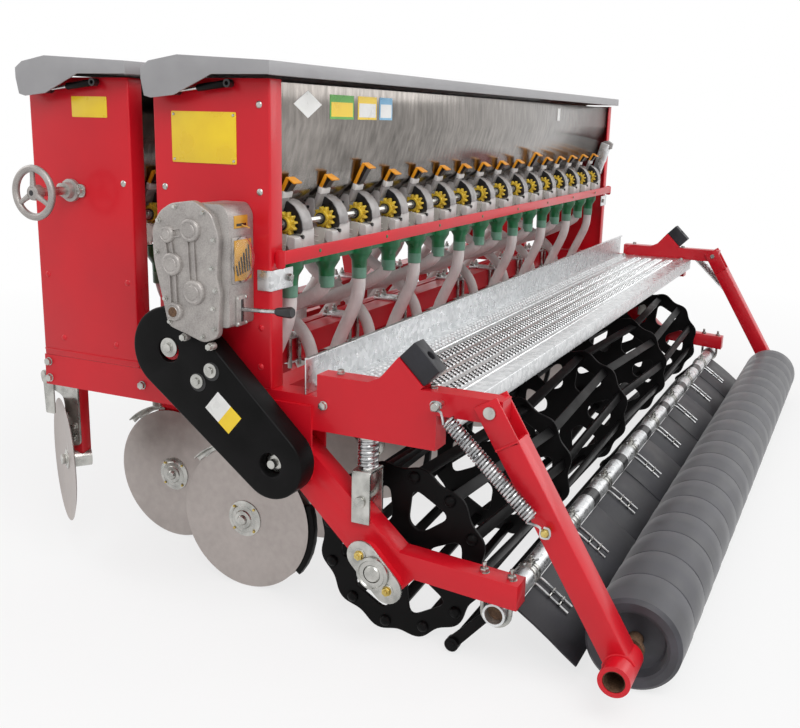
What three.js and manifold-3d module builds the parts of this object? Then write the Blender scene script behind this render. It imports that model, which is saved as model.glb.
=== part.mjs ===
// Towed seed drill with sixteen rows: a seed box and a fertiliser box over a welded frame,
// double-disc openers, a cage roller in trailing arms, a soil curtain and a hinged press roller.
// Millimetres, +Z up. X runs along the machine's width, +Y is the direction of travel.
// Heights are above the ground; y = 0 is the rear face of the seed box's end panels.
import * as THREE from 'three';
import { mergeVertices } from 'three/addons/utils/BufferGeometryUtils.js';
import Module from 'manifold-3d';

const wasm = await Module();
wasm.setup();

// ---------------------------------------------------------------- driving dimensions
const GAP = 0.3; // clearance between pieces that sit on each other
const PIN_CLEARANCE = 0.6; // radial clearance of pins and shafts in their holes
const MOVING_CLEARANCE = 6; // clearance between pieces that move past each other

const HALF_WIDTH = 1300; // middle plane to the outer face of an end panel
const ROW_COUNT = 16;
const ROW_PITCH = 156;

const FRAME_TOP = 516; // height of the top of the side beams
const BEAM_WIDTH = 50;
const BEAM_HEIGHT = 70;
const BEAM_FRONT = 608;
const BEAM_REAR = -362;
const CROSS_TUBE = 60;
const REAR_CROSS_Y = 20;
const MIDDLE_CROSS_Y = 310;
const WALKWAY_REST = 30;
const HANGER_REAR = 50; // hanger plates behind, ahead of and below the arm's pivot
const HANGER_FRONT = 65;
const HANGER_BELOW = 45;
const HANGER_LAP = 20; // how far they stand below the beam's top
const PLATE = 6; // thickness of hanger, clevis and bracket plates

const BOX_DEPTH = 276; // seed box, rear face to front face of its end panels
const FRONT_BOX_DEPTH = 269;
const FRONT_BOX_Y = 338; // rear face of the fertiliser box's end panels
const PANEL_TOP = 1120;
const PANEL_SHEET = 4;
const PANEL_FLANGE = 42;
const TROUGH_SHEET = 3;
const TROUGH_BOTTOM = 872;
const TROUGH_KNEE = 1040; // height where the vertical walls turn into the slopes
const TROUGH_REAR_FOOT = 72;
const TROUGH_FRONT_FOOT = 130;
const TROUGH_BULGE_Y = 41;
const TROUGH_BULGE_Z = 906;

const LID_SHEET = 3;
const LID_OVERHANG = 20; // how far the lid stands behind the box
const LID_CROWN = 1162;
const LID_CROWN_Y = 190;
const LID_EDGE = 1151;
const LID_SKIRT = 1126;
const LID_END = 31; // lid's outer end face beyond the end panel
const LID_PIVOT_Z = 1095;
const LID_PIVOT_INSET = 12; // pivot behind the panel's front edge
const STRUT_EYE_BACK = 58; // lid's strut stud behind the lid pivot
const STRUT_SEAT_BACK = 180; // panel's strut stud behind the lid pivot
const STRUT_SEAT_UP = 15;
const STRUT_RADIUS = 7;
const STRUT_ROD_RADIUS = 3.6;
const STRUT_BARREL = 72; // barrel's mouth from its eye
const STRUT_BORE = 50; // depth of the barrel's bore
const STRUT_EYE_RADIUS = 8;
const STRUT_EYE_WIDTH = 14;
const STUD_RADIUS = 4;
const STRUT_GAP = 5; // panel to strut

const METER_WIDTH = 96;
const METER_SHAFT_Y = 55;
const METER_SHAFT_Z = 830;
const METER_SHAFT_RADIUS = 9;
const METER_FOOT = 765;
const LEVER_TOP = 950;
const LEVER_WIDTH = 10;
const RAIL_Y = -24;
const RAIL_BOTTOM = 769;
const RAIL_HEIGHT = 27;
const RAIL_HALF = HALF_WIDTH - 14;

const TUBE_RADIUS = 16.5;
const FUNNEL_Y = 24;
const FUNNEL_BOTTOM = 700;
const FUNNEL_RADIUS = 30;
const STRIP_SHEET = 4; // strip that joins the funnels
const STRIP_HEIGHT = 18;
const STRIP_DROP = 6;

const DISC_RADIUS = 165;
const DISC_SIDES = 16;
const DISC_THICKNESS = 2;
const DISC_SPACING = 24; // outer face to outer face, less the sheets' thickness
const DISC_HUB = 20;
const REAR_RANK_Y = 150;
const FRONT_RANK_Y = 470;
const TOOLBAR_AHEAD = 105; // toolbar's middle ahead of the disc's axis
const OPENER_EYE = 36;
const OPENER_WEB = 10;
const SOCKET_HEIGHT = 28;
const SEED_SOCKET_Y = -45;
const FERTILISER_SOCKET_Y = 12;
const SOCKET_HALF = 21;
const SHANK_HALF = 15;
const SHANK_TOP_HALF = 25; // half depth of the shank where it meets the toolbar

const ARM_PIVOT_Y = -45; // pivot of the cage roller's arms
const ARM_PIVOT_Z = FRAME_TOP - BEAM_HEIGHT - 59;
const ARM_DEPTH = 80;
const ARM_BOLT = 12;
const CAGE_Y = -253;
const CAGE_RADIUS = 193; // over the lobes of the cage's discs
const CAGE_LOBES = 12;
const CAGE_NOTCH = 12;
const CAGE_LOBE_SHARE = 0.1; // how far a lobe's corner shifts towards its middle
const CAGE_HALF = HALF_WIDTH - 90;
const CAGE_DISCS = 5;
const CAGE_SHEET = 8;
const CAGE_BAR_RADIUS = 9;
const CAGE_BAR_SWAY = 10; // degrees that a bar leans from one disc to the next
const CAGE_HOLES = 6;
const CAGE_HOLE_RADIUS = 36;
const CAGE_HOLE_CIRCLE = 112;
const CAGE_STUB = 18;
const PIPE_Y = CAGE_Y - CAGE_RADIUS - 44; // curtain pipe, behind the cage and under its arms
const CAGE_STUB_END = HALF_WIDTH + 43;
const REAR_ARM_DEPTH = 50;
const REAR_ARM_END = PIPE_Y - 48;
const REAR_ARM_TOP = 208;
const REAR_ARM_SLOPE = 16; // rise of the rear arm's top from its end to its bend
const REAR_ARM_BEND = -290;
const REAR_ARM_FOOT = 35; // lower bend behind the upper one
const ARM_NOSE = 25; // arm's front end ahead of its pivot
const ARM_HEEL = 62; // sloping arm's lower corner past the cage's shaft

const BEARING_REACH = 28; // bearing housing's ends from the shaft, along y and along z
const BEARING_RADIUS = 22;
const BEARING_DEPTH = 32;
const DOWNFORCE_Y = -208; // compression spring and its stirrup on the sloping arm
const STIRRUP_BOTTOM = 270;
const STIRRUP_SEAT = 380;
const STIRRUP_PIN_Z = 316;
const STIRRUP_PIN = 6;
const STIRRUP_HALF = 20;
const COIL_RADIUS = 22;

const UPPER_TUBE = 45;
const UPPER_TUBE_FRONT = -105;
const UPPER_TUBE_REAR = -492;
const PRESS_PIVOT_Y = -470;
const PRESS_PIVOT_Z = 539;
const PRESS_PIN = 8;
const PRESS_RADIUS = 95;
const PRESS_SIDES = 16;
const PRESS_Y = PIPE_Y - 250;
const PRESS_HALF = HALF_WIDTH - 92;
const PRESS_ARM_DEPTH = 50;
const PRESS_ARM_GAP = 2; // each side of the upper tube
const PRESS_ARM_SHEET = 5;
const PRESS_CLEVIS = 65;
const CHEEK_NOSE = 20; // clevis cheeks past their pivot
const PRESS_AXLE = 15;
const PRESS_LIP = 6; // how far the roller's ends fall in
const PRESS_TAPER = 40;
const PRESS_HOUSING = 30;
const PRESS_HOUSING_END = HALF_WIDTH + 50;
const STOP_RISE = 45;
const STOP_WIDTH = 40;
const STOP_FOOT = [-281, 618]; // ends of the face that the rubber stop is bolted to
const STOP_HEEL = [-333, 567];
const STOP_GUSSET = [[-183, 545], [-243, 573]]; // gusset's front edge below the stop
const STOP_GUSSET_REAR = -287;
const SPRING_PIN = 6;
const SPRING_EYE = 12; // middle of a pin to the end of the spring's body
const SPRING_PIN_Y = -372;
const SPRING_PIN_Z = 542;
const SPRING_ARM_REACH = 235; // spring's lower pin from the press arm's pivot
const SPRING_RADIUS = 14;
const SPRING_X = HALF_WIDTH + 28;

const WALKWAY_FRONT = -77;
const WALKWAY_REAR = -385;
const WALKWAY_SHEET = 3;
const WALKWAY_LIP = 40;
const TOE_BOARD = 75;

const PIPE_RADIUS = 24;
const PIPE_WALL = 4;
const PIPE_HALF = HALF_WIDTH - 10;
const SCRAPER_CLEARANCE = 21; // scraper rod's middle to the cage's lobes
const SCRAPER_ANGLE = 38.1; // degrees that the rod stands behind the cage's lowest point
const SCRAPER_RADIUS = 8;
const SCRAPER_OVERLAP = 20; // links beyond the cage's end discs
const CURTAIN_SHEET = 6;
const CURTAIN_END_Y = PIPE_Y - 150;
const CURTAIN_END_Z = 28;
const CURTAIN_HALF = HALF_WIDTH - 85;

const GUARD_TOP_Y = 194;
const GUARD_TOP_Z = 590;
const GUARD_TOP_RADIUS = 88;
const GUARD_LOW_RADIUS = 78;
const GUARD_INNER = HALF_WIDTH + 25;
const GUARD_DEPTH = 55;
const GEARBOX_FACE = HALF_WIDTH + 100;
const GEARBOX_COVER = 17;
const HANDWHEEL_Y = 500;
const HANDWHEEL_Z = 888;
const HANDWHEEL_RADIUS = 57;
const HANDWHEEL_X = HALF_WIDTH + 108;
const HANDWHEEL_RIM = 8;
const HANDWHEEL_SPOKE = 5;
const HANDWHEEL_SHAFT = 9;
const HANDWHEEL_BEARING = 24;
const HANDWHEEL_BEARING_DEPTH = 16;
const GUARD_STANDOFF = 20;
// Outlines of the gearbox in (y, z), and its bosses as y, z and radius.
const COVER_OUTLINE = [
  [57, 634], [89, 620], [176, 646], [186, 691], [206, 773], [208, 832], [190, 868], [162, 886],
  [108, 894], [66, 870], [52, 828], [58, 748], [50, 719],
];
const CASTING_OUTLINE = [[200, 775], [200, 830], [158, 880], [108, 886], [70, 862], [60, 760]];
const CASTING_FOOT = [62, 180];
const GEARBOX_BOSSES = [[115, 837, 22], [169, 826, 16], [160, 769, 22], [110, 718, 24], [157, 676, 18]];
const BOSS_HEIGHT = 8;
const SPEED_LEVER = [[70, 706], [-62, 692]]; // lever from the gearbox to its knob, then the knob
const SPEED_LEVER_RADIUS = 5;
const SPEED_KNOB = [[-60, 692], [-96, 688]];
const SPEED_KNOB_RADIUS = 11;
const SPEED_LEVER_X = [30, 40, 43]; // inboard of the gearbox's face: foot, knob and its end

const RIDGER_RADIUS = 148;
const RIDGER_X = HALF_WIDTH - 50;
const RIDGER_Y = 616;
const RIDGER_Z = 247;
const RIDGER_TURN = 37; // degrees between the ridging disc's plane and the travel
const RIDGER_LEG = 32;
const RIDGER_LEG_REACH = 40; // leg's middle inboard of the disc, along its axis
const RIDGER_THICKNESS = 4;
const RIDGER_HUB = 14; // how far the hub stands inboard of the disc
const RIDGER_BARREL_START = 15;
const RIDGER_BARREL_END = 60;
const RIDGER_PLATE_FRONT = 94; // front edge of the bracket plate ahead of the leg's middle
const RIDGER_PLATE_FOOT = 38; // bracket plate's foot above the disc's axis
const RIDGER_BARREL = 22;

const LINK_HALF = 420; // lower link lugs from the middle plane
const LINK_Y = 690;
const LINK_Z = 400;
const TOP_LINK_Z = 1010;
const LUG_RADIUS = 35;
const LUG_PLATE = 16;
const TOP_LUG_HALF = 40;
const TOP_LUG_FRONT = LINK_Y + 5;
const TOP_LUG_DEPTH = 90;
const MAST_TUBE = 60;
const MAST_HALF = 260;

const rowX = (row) => (row - (ROW_COUNT - 1) / 2) * ROW_PITCH;
const rows = Array.from({ length: ROW_COUNT }, (_, row) => row);
const fromEdge = (row) => Math.min(row, ROW_COUNT - 1 - row);
const rankY = (row) => (fromEdge(row) % 2 === 0 ? REAR_RANK_Y : FRONT_RANK_Y);
const radians = THREE.MathUtils.degToRad;

// ---------------------------------------------------------------- solids
function solid(geometry) {
  geometry.deleteAttribute('normal');
  geometry.deleteAttribute('uv');
  const merged = mergeVertices(geometry);
  return new wasm.Manifold(new wasm.Mesh({
    numProp: 3,
    vertProperties: new Float32Array(merged.attributes.position.array),
    triVerts: new Uint32Array(merged.index.array),
  }));
}

function join(...pieces) {
  return pieces.flat().reduce((whole, piece) => whole.add(piece));
}

function box(x0, x1, y0, y1, z0, z1) {
  const geometry = new THREE.BoxGeometry(Math.abs(x1 - x0), y1 - y0, z1 - z0);
  return solid(geometry.translate((x0 + x1) / 2, (y0 + y1) / 2, (z0 + z1) / 2));
}

// Plate whose outline lies in the (y, z) plane, between two x positions.
function plate(outline, x0, x1, holes = []) {
  const shape = new THREE.Shape(outline.map(([y, z]) => new THREE.Vector2(y, z)));
  for (const hole of holes) {
    shape.holes.push(new THREE.Path(hole.map(([y, z]) => new THREE.Vector2(y, z))));
  }
  const depth = Math.abs(x1 - x0);
  const geometry = new THREE.ExtrudeGeometry(shape, { depth, bevelEnabled: false, curveSegments: 1 });
  const axes = new THREE.Matrix4().makeBasis(
    new THREE.Vector3(0, 1, 0), new THREE.Vector3(0, 0, 1), new THREE.Vector3(1, 0, 0));
  return solid(geometry.applyMatrix4(axes).translate(Math.min(x0, x1), 0, 0));
}

function ring(y, z, radius, sides, phase = 0) {
  return Array.from({ length: sides }, (_, i) => {
    const angle = phase + (2 * Math.PI * i) / sides;
    return [y + radius * Math.cos(angle), z + radius * Math.sin(angle)];
  });
}

// Hole whose flats clear a round shaft of this radius.
function hole(y, z, radius, sides) {
  return ring(y, z, radius / Math.cos(Math.PI / sides), sides, Math.PI / sides);
}

function rodX(y, z, radius, x0, x1, sides = 12) {
  return plate(ring(y, z, radius, sides, Math.PI / sides), x0, x1);
}

// Turned piece: the profile is a list of [radius, distance along the axis].
function turned(profile, origin, direction, sides) {
  const points = profile.map(([r, along]) => new THREE.Vector2(r, along));
  const geometry = new THREE.LatheGeometry(points, sides, Math.PI / sides);
  const turn = new THREE.Quaternion().setFromUnitVectors(
    new THREE.Vector3(0, 1, 0), direction.clone().normalize());
  return solid(geometry.applyQuaternion(turn).translate(origin.x, origin.y, origin.z));
}

function rod(from, to, radius, sides = 8) {
  const direction = to.clone().sub(from);
  const length = direction.length();
  return turned([[0, 0], [radius, 0], [radius, length], [0, length]], from, direction, sides);
}

// Round tube that follows points [y, z] in the plane of one row.
function hose(x, points, radius, steps, sides = 5) {
  const section = new THREE.Shape(
    ring(0, 0, radius, sides).map(([u, v]) => new THREE.Vector2(u, v)));
  const path = new THREE.CatmullRomCurve3(points.map(([y, z]) => new THREE.Vector3(x, y, z)));
  return solid(new THREE.ExtrudeGeometry(section, { steps, extrudePath: path, bevelEnabled: false }));
}

// ---------------------------------------------------------------- materials and scene graph
const drill = new THREE.Group();

const finishes = {
  red_enamel: [0xd0202f, 0.35, 0],
  stainless: [0xc9cbcc, 0.18, 1],
  grey_enamel: [0x9d9b9e, 0.45, 0],
  galvanised: [0xb9bdc0, 0.4, 1],
  black_enamel: [0x1c1b1b, 0.4, 0],
  black_rubber: [0x35363a, 0.7, 0],
  disc_steel: [0xa09c9b, 0.42, 1],
  cast_aluminium: [0xb4b4b6, 0.5, 1],
  clear_plastic: [0xd8d6cc, 0.3, 0],
  milky_plastic: [0xded8d6, 0.45, 0],
  spring_steel: [0xa7a9ab, 0.35, 1],
};

function add(name, body, finish) {
  const mesh = body.getMesh();
  const geometry = new THREE.BufferGeometry();
  geometry.setAttribute('position', new THREE.BufferAttribute(mesh.vertProperties, 3));
  geometry.setIndex(new THREE.BufferAttribute(mesh.triVerts, 1));
  geometry.computeVertexNormals();
  const [color, roughness, metalness] = finishes[finish];
  const piece = new THREE.Mesh(
    geometry, new THREE.MeshStandardMaterial({ color, roughness, metalness }));
  piece.name = name;
  drill.add(piece);
}

const sides = [['left', -1], ['right', 1]];

// ---------------------------------------------------------------- places worked out from the sizes
const beamBottom = FRAME_TOP - BEAM_HEIGHT;
const beamInner = HALF_WIDTH - BEAM_WIDTH;
const upperOuter = HALF_WIDTH;
const upperInner = HALF_WIDTH - UPPER_TUBE;
const upperBottom = FRAME_TOP;
const cageZ = CAGE_RADIUS * Math.cos(Math.PI / CAGE_LOBES);
const scraperReach = CAGE_RADIUS + SCRAPER_CLEARANCE;
const scraperY = CAGE_Y - scraperReach * Math.sin(radians(SCRAPER_ANGLE));
const scraperZ = cageZ - scraperReach * Math.cos(radians(SCRAPER_ANGLE));
const discZ = DISC_RADIUS;
const pressDrop = PRESS_PIVOT_Z - PRESS_RADIUS;
const pressReach = Math.hypot(PRESS_Y - PRESS_PIVOT_Y, pressDrop);
const pressAlong = [(PRESS_Y - PRESS_PIVOT_Y) / pressReach, -pressDrop / pressReach];
const pressAcross = [-pressAlong[1], pressAlong[0]];
const armLength = Math.hypot(CAGE_Y - ARM_PIVOT_Y, cageZ - ARM_PIVOT_Z);
const armAlong = [(CAGE_Y - ARM_PIVOT_Y) / armLength, (cageZ - ARM_PIVOT_Z) / armLength];
const armAcross = [armAlong[1], -armAlong[0]];

function offset(origin, along, across, s, t) {
  return [origin[0] + along[0] * s + across[0] * t, origin[1] + along[1] * s + across[1] * t];
}

// ---------------------------------------------------------------- frame

function stopBracket(side) {
  const gusset = [
    [UPPER_TUBE_FRONT, FRAME_TOP], [UPPER_TUBE_FRONT, FRAME_TOP + 8], ...STOP_GUSSET,
    STOP_FOOT, STOP_HEEL, [STOP_GUSSET_REAR, FRAME_TOP],
  ];
  const tube = box(side * upperInner, side * upperOuter, UPPER_TUBE_REAR, UPPER_TUBE_FRONT,
    upperBottom, upperBottom + UPPER_TUBE);
  const springPin = rodX(
    SPRING_PIN_Y, SPRING_PIN_Z, SPRING_PIN, side * (upperOuter - PLATE), side * SPRING_X);
  const bore = rodX(PRESS_PIVOT_Y, PRESS_PIVOT_Z, PRESS_PIN + PIN_CLEARANCE,
    side * (upperInner - 1), side * (upperOuter + 1));
  return join(tube, plate(gusset, side * upperInner, side * upperOuter), springPin).subtract(bore);
}

function rollerHanger(side) {
  const outline = [
    [ARM_PIVOT_Y - HANGER_REAR, FRAME_TOP - HANGER_LAP],
    [ARM_PIVOT_Y + HANGER_FRONT, FRAME_TOP - HANGER_LAP],
    [ARM_PIVOT_Y + HANGER_FRONT, ARM_PIVOT_Z - HANGER_BELOW],
    [ARM_PIVOT_Y - HANGER_REAR, ARM_PIVOT_Z - HANGER_BELOW],
  ];
  return join(
    plate(outline, side * HALF_WIDTH, side * (HALF_WIDTH + PLATE)),
    plate(outline, side * (beamInner - PLATE), side * beamInner),
    rodX(ARM_PIVOT_Y, ARM_PIVOT_Z, ARM_BOLT, side * (beamInner - PLATE - 8),
      side * (HALF_WIDTH + PLATE + 8)));
}

function crossTube(y, height, depth) {
  return box(-beamInner - 1, beamInner + 1, y - depth / 2, y + depth / 2,
    FRAME_TOP - height, FRAME_TOP);
}

function mainFrame() {
  const parts = [
    crossTube(REAR_CROSS_Y, CROSS_TUBE, CROSS_TUBE),
    crossTube(MIDDLE_CROSS_Y, CROSS_TUBE, CROSS_TUBE / 2),
    crossTube(WALKWAY_FRONT - WALKWAY_REST, WALKWAY_REST, WALKWAY_REST),
    crossTube(WALKWAY_REAR + 1.5 * WALKWAY_REST, WALKWAY_REST, WALKWAY_REST),
  ];
  for (const [, side] of sides) {
    parts.push(box(side * beamInner, side * HALF_WIDTH, BEAM_REAR, BEAM_FRONT, beamBottom, FRAME_TOP));
    parts.push(stopBracket(side), rollerHanger(side));
  }
  return join(parts);
}
add('main_frame', mainFrame(), 'red_enamel');

// ---------------------------------------------------------------- toolbars, openers and headstock
const socketBottom = discZ + DISC_RADIUS / Math.cos(Math.PI / DISC_SIDES) + MOVING_CLEARANCE;
const socketTop = socketBottom + SOCKET_HEIGHT;

function opener(row) {
  const x = rowX(row);
  const y = rankY(row);
  const barBottom = FRAME_TOP - CROSS_TUBE;
  const web = [
    [y + SEED_SOCKET_Y, socketTop], [y + SEED_SOCKET_Y, socketBottom], [y - OPENER_EYE, discZ + 20],
    [y - OPENER_EYE * 0.7, discZ - OPENER_EYE * 0.7], [y + OPENER_EYE * 0.7, discZ - OPENER_EYE * 0.7],
    [y + OPENER_EYE, discZ + 20], [y + FERTILISER_SOCKET_Y + 40, socketBottom],
    [y + FERTILISER_SOCKET_Y + 40, socketTop],
  ];
  const shank = [
    [y + FERTILISER_SOCKET_Y, socketBottom], [y + TOOLBAR_AHEAD - 20, socketBottom + 30],
    [y + TOOLBAR_AHEAD + SHANK_TOP_HALF, barBottom + 1], [y + TOOLBAR_AHEAD - SHANK_TOP_HALF, barBottom + 1],
    [y + FERTILISER_SOCKET_Y + SOCKET_HALF, socketTop],
  ];
  const eye = hole(y, discZ, DISC_HUB + PIN_CLEARANCE, DISC_SIDES);
  return join(
    plate(web, x - OPENER_WEB / 2, x + OPENER_WEB / 2, [eye]),
    plate(shank, x - SHANK_HALF, x + SHANK_HALF),
    box(x - SOCKET_HALF, x + SOCKET_HALF, y + SEED_SOCKET_Y - SOCKET_HALF,
      y + FERTILISER_SOCKET_Y + SOCKET_HALF, socketBottom, socketTop));
}

function toolbar(rank) {
  const y = rank + TOOLBAR_AHEAD;
  const inner = beamInner - GAP;
  const bar = box(-inner, inner, y - CROSS_TUBE / 2, y + CROSS_TUBE / 2,
    FRAME_TOP - CROSS_TUBE, FRAME_TOP);
  return join(bar, rows.filter((row) => rankY(row) === rank).map(opener));
}
add('rear_toolbar', toolbar(REAR_RANK_Y), 'red_enamel');

const mastY = FRONT_RANK_Y + TOOLBAR_AHEAD + CROSS_TUBE / 2 + MAST_TUBE / 2;

function headstock() {
  const foot = LINK_Z - LUG_RADIUS;
  const parts = [];
  for (const [, side] of sides) {
    const upright = [
      [side * MAST_HALF, foot], [side * (MAST_HALF + MAST_TUBE), foot],
      [side * (TOP_LUG_HALF + MAST_TUBE), TOP_LINK_Z + LUG_RADIUS],
      [side * TOP_LUG_HALF, TOP_LINK_Z + LUG_RADIUS],
    ];
    const shape = new THREE.Shape(upright.map(([x, z]) => new THREE.Vector2(x, z)));
    const tube = new THREE.ExtrudeGeometry(shape, { depth: MAST_TUBE, bevelEnabled: false });
    parts.push(solid(tube.rotateX(Math.PI / 2).translate(0, mastY + MAST_TUBE / 2, 0)));
    parts.push(plate([
      [mastY - MAST_TUBE / 2, foot], [LINK_Y + LUG_RADIUS, foot],
      [LINK_Y + LUG_RADIUS, LINK_Z + LUG_RADIUS], [mastY - MAST_TUBE / 2, FRAME_TOP],
    ], side * (LINK_HALF - LUG_PLATE / 2), side * (LINK_HALF + LUG_PLATE / 2)));
    parts.push(plate([
      [mastY, TOP_LINK_Z - TOP_LUG_DEPTH], [TOP_LUG_FRONT, TOP_LINK_Z - LUG_RADIUS],
      [TOP_LUG_FRONT, TOP_LINK_Z + LUG_RADIUS], [mastY, TOP_LINK_Z + LUG_RADIUS],
    ], side * TOP_LUG_HALF, side * (TOP_LUG_HALF + LUG_PLATE)));
  }
  parts.push(box(-LINK_HALF, LINK_HALF, mastY - MAST_TUBE / 2, mastY + MAST_TUBE / 2,
    foot, foot + CROSS_TUBE));
  parts.push(box(-TOP_LUG_HALF - 2, TOP_LUG_HALF + 2, mastY - MAST_TUBE / 2, mastY + MAST_TUBE / 2,
    TOP_LINK_Z - 2 * MAST_TUBE, TOP_LINK_Z - MAST_TUBE));
  return join(parts);
}
add('front_toolbar_headstock', join(toolbar(FRONT_RANK_Y), headstock()), 'red_enamel');

// The two discs of a row turn as one on a hub in the opener's eye.
function discPair(row) {
  const rim = DISC_RADIUS / Math.cos(Math.PI / DISC_SIDES);
  const inner = DISC_SPACING / 2 - DISC_THICKNESS / 2;
  const outer = DISC_SPACING / 2 + DISC_THICKNESS / 2;
  const profile = [
    [0, -outer], [rim, -outer], [rim, -inner], [DISC_HUB, -inner],
    [DISC_HUB, inner], [rim, inner], [rim, outer], [0, outer],
  ];
  const middle = new THREE.Vector3(rowX(row), rankY(row), discZ);
  return turned(profile, middle, new THREE.Vector3(1, 0, 0), DISC_SIDES);
}
for (const row of rows) {
  add(`opener_discs_${String(row + 1).padStart(2, '0')}`, discPair(row), 'disc_steel');
}

// ---------------------------------------------------------------- boxes: panels, troughs, lids
const strutX = HALF_WIDTH + STRUT_EYE_WIDTH / 2 + STRUT_GAP;
const lidInner = HALF_WIDTH + LID_END - PANEL_SHEET;

function lidPivot(y0, depth) {
  return [y0 + depth - LID_PIVOT_INSET, LID_PIVOT_Z];
}

function endPanel(side, y0, depth) {
  const bottom = FRAME_TOP + GAP;
  const inner = HALF_WIDTH - PANEL_SHEET;
  const [pivotY, pivotZ] = lidPivot(y0, depth);
  return join(
    box(side * inner, side * HALF_WIDTH, y0, y0 + depth, bottom, PANEL_TOP),
    box(side * (HALF_WIDTH - PANEL_FLANGE), side * inner, y0, y0 + PANEL_SHEET, bottom, PANEL_TOP),
    box(side * (HALF_WIDTH - PANEL_FLANGE), side * inner, y0 + depth - PANEL_SHEET, y0 + depth,
      bottom, PANEL_TOP),
    rodX(pivotY - STRUT_SEAT_BACK, pivotZ + STRUT_SEAT_UP, STUD_RADIUS, side * inner,
      side * (strutX - STRUT_EYE_WIDTH / 2 - 0.5), 8));
}

function troughOutline(y0, depth, inset) {
  const rear = y0 + PANEL_SHEET + 2 + inset;
  const front = y0 + depth - PANEL_SHEET - 2 - inset;
  const top = PANEL_TOP - 4 + (inset > 0 ? 10 : 0);
  return [
    [rear, top], [rear, TROUGH_KNEE], [y0 + TROUGH_BULGE_Y + inset, TROUGH_BULGE_Z],
    [y0 + TROUGH_REAR_FOOT + inset / 2, TROUGH_BOTTOM + inset],
    [y0 + TROUGH_FRONT_FOOT - inset / 2, TROUGH_BOTTOM + inset], [front, TROUGH_KNEE], [front, top],
  ];
}

function trough(y0, depth) {
  const half = HALF_WIDTH - PANEL_SHEET - GAP;
  const outer = plate(troughOutline(y0, depth, 0), -half, half);
  const hollow = plate(troughOutline(y0, depth, TROUGH_SHEET), -half + TROUGH_SHEET, half - TROUGH_SHEET);
  return outer.subtract(hollow);
}

function lid(y0, depth) {
  const rear = y0 - LID_OVERHANG;
  const front = y0 + depth + LID_SHEET;
  const outer = HALF_WIDTH + LID_END;
  const eaves = PANEL_TOP + 8;
  const below = PANEL_TOP - 100;
  const [pivotY, pivotZ] = lidPivot(y0, depth);
  const section = [
    [rear, LID_EDGE], [y0 + LID_CROWN_Y, LID_CROWN], [front - 20, LID_EDGE], [front, LID_EDGE - 13],
    [front, pivotZ + 22], [pivotY + 8, pivotZ - 10], [pivotY - 8, pivotZ - 14],
    [pivotY - STRUT_EYE_BACK - 6, pivotZ - 8], [pivotY - STRUT_EYE_BACK - 95, LID_SKIRT],
    [rear, LID_SKIRT],
  ];
  const hollow = [
    [rear + LID_SHEET, LID_EDGE - LID_SHEET], [y0 + LID_CROWN_Y, LID_CROWN - LID_SHEET],
    [front - 21, LID_EDGE - LID_SHEET], [front - LID_SHEET, LID_EDGE - 15], [front - LID_SHEET, eaves],
    [front + 1, eaves], [front + 1, below], [rear + LID_SHEET, below],
  ];
  const shell = plate(section, -outer, outer).subtract(plate(hollow, -lidInner, lidInner));
  const pins = sides.map(([, side]) => join(
    rodX(pivotY, pivotZ, 5, side * (HALF_WIDTH + 0.5), side * (outer - 1), 8),
    rodX(pivotY - STRUT_EYE_BACK, pivotZ, STUD_RADIUS,
      side * (strutX + STRUT_EYE_WIDTH / 2 + 0.5), side * (outer - 1), 8)));
  return join(shell, pins);
}

// Gas strut between the panel's stud and the lid's stud: barrel on the panel, rod on the lid.
function strut(side, y0, depth) {
  const [pivotY, pivotZ] = lidPivot(y0, depth);
  const seat = new THREE.Vector3(side * strutX, pivotY - STRUT_SEAT_BACK, pivotZ + STRUT_SEAT_UP);
  const eye = new THREE.Vector3(side * strutX, pivotY - STRUT_EYE_BACK, pivotZ);
  const along = eye.clone().sub(seat);
  const length = along.length();
  const bore = STRUT_ROD_RADIUS + PIN_CLEARANCE;
  const x0 = side * (strutX - STRUT_EYE_WIDTH / 2);
  const x1 = side * (strutX + STRUT_EYE_WIDTH / 2);
  const barrel = turned([
    [0, 0], [STRUT_RADIUS, 0], [STRUT_RADIUS, STRUT_BARREL], [bore, STRUT_BARREL],
    [bore, STRUT_BARREL - STRUT_BORE], [0, STRUT_BARREL - STRUT_BORE],
  ], seat, along, 10);
  const piston = turned([
    [0, STRUT_BARREL - STRUT_BORE + 2], [STRUT_ROD_RADIUS, STRUT_BARREL - STRUT_BORE + 2],
    [STRUT_ROD_RADIUS, length], [0, length],
  ], seat, along, 8);
  return {
    barrel: join(barrel, rodX(seat.y, seat.z, STRUT_EYE_RADIUS, x0, x1, 10)),
    piston: join(piston, rodX(eye.y, eye.z, STRUT_EYE_RADIUS, x0, x1, 10)),
  };
}

for (const [boxName, y0, depth] of [['rear', 0, BOX_DEPTH], ['front', FRONT_BOX_Y, FRONT_BOX_DEPTH]]) {
  for (const [hand, side] of sides) {
    add(`${boxName}_end_panel_${hand}`, endPanel(side, y0, depth), 'red_enamel');
    const { barrel, piston } = strut(side, y0, depth);
    add(`${boxName}_strut_barrel_${hand}`, barrel, 'black_enamel');
    add(`${boxName}_strut_rod_${hand}`, piston, 'spring_steel');
  }
  add(`${boxName}_hopper`, trough(y0, depth), 'stainless');
  add(`${boxName}_lid`, lid(y0, depth), 'grey_enamel');
}

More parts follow.
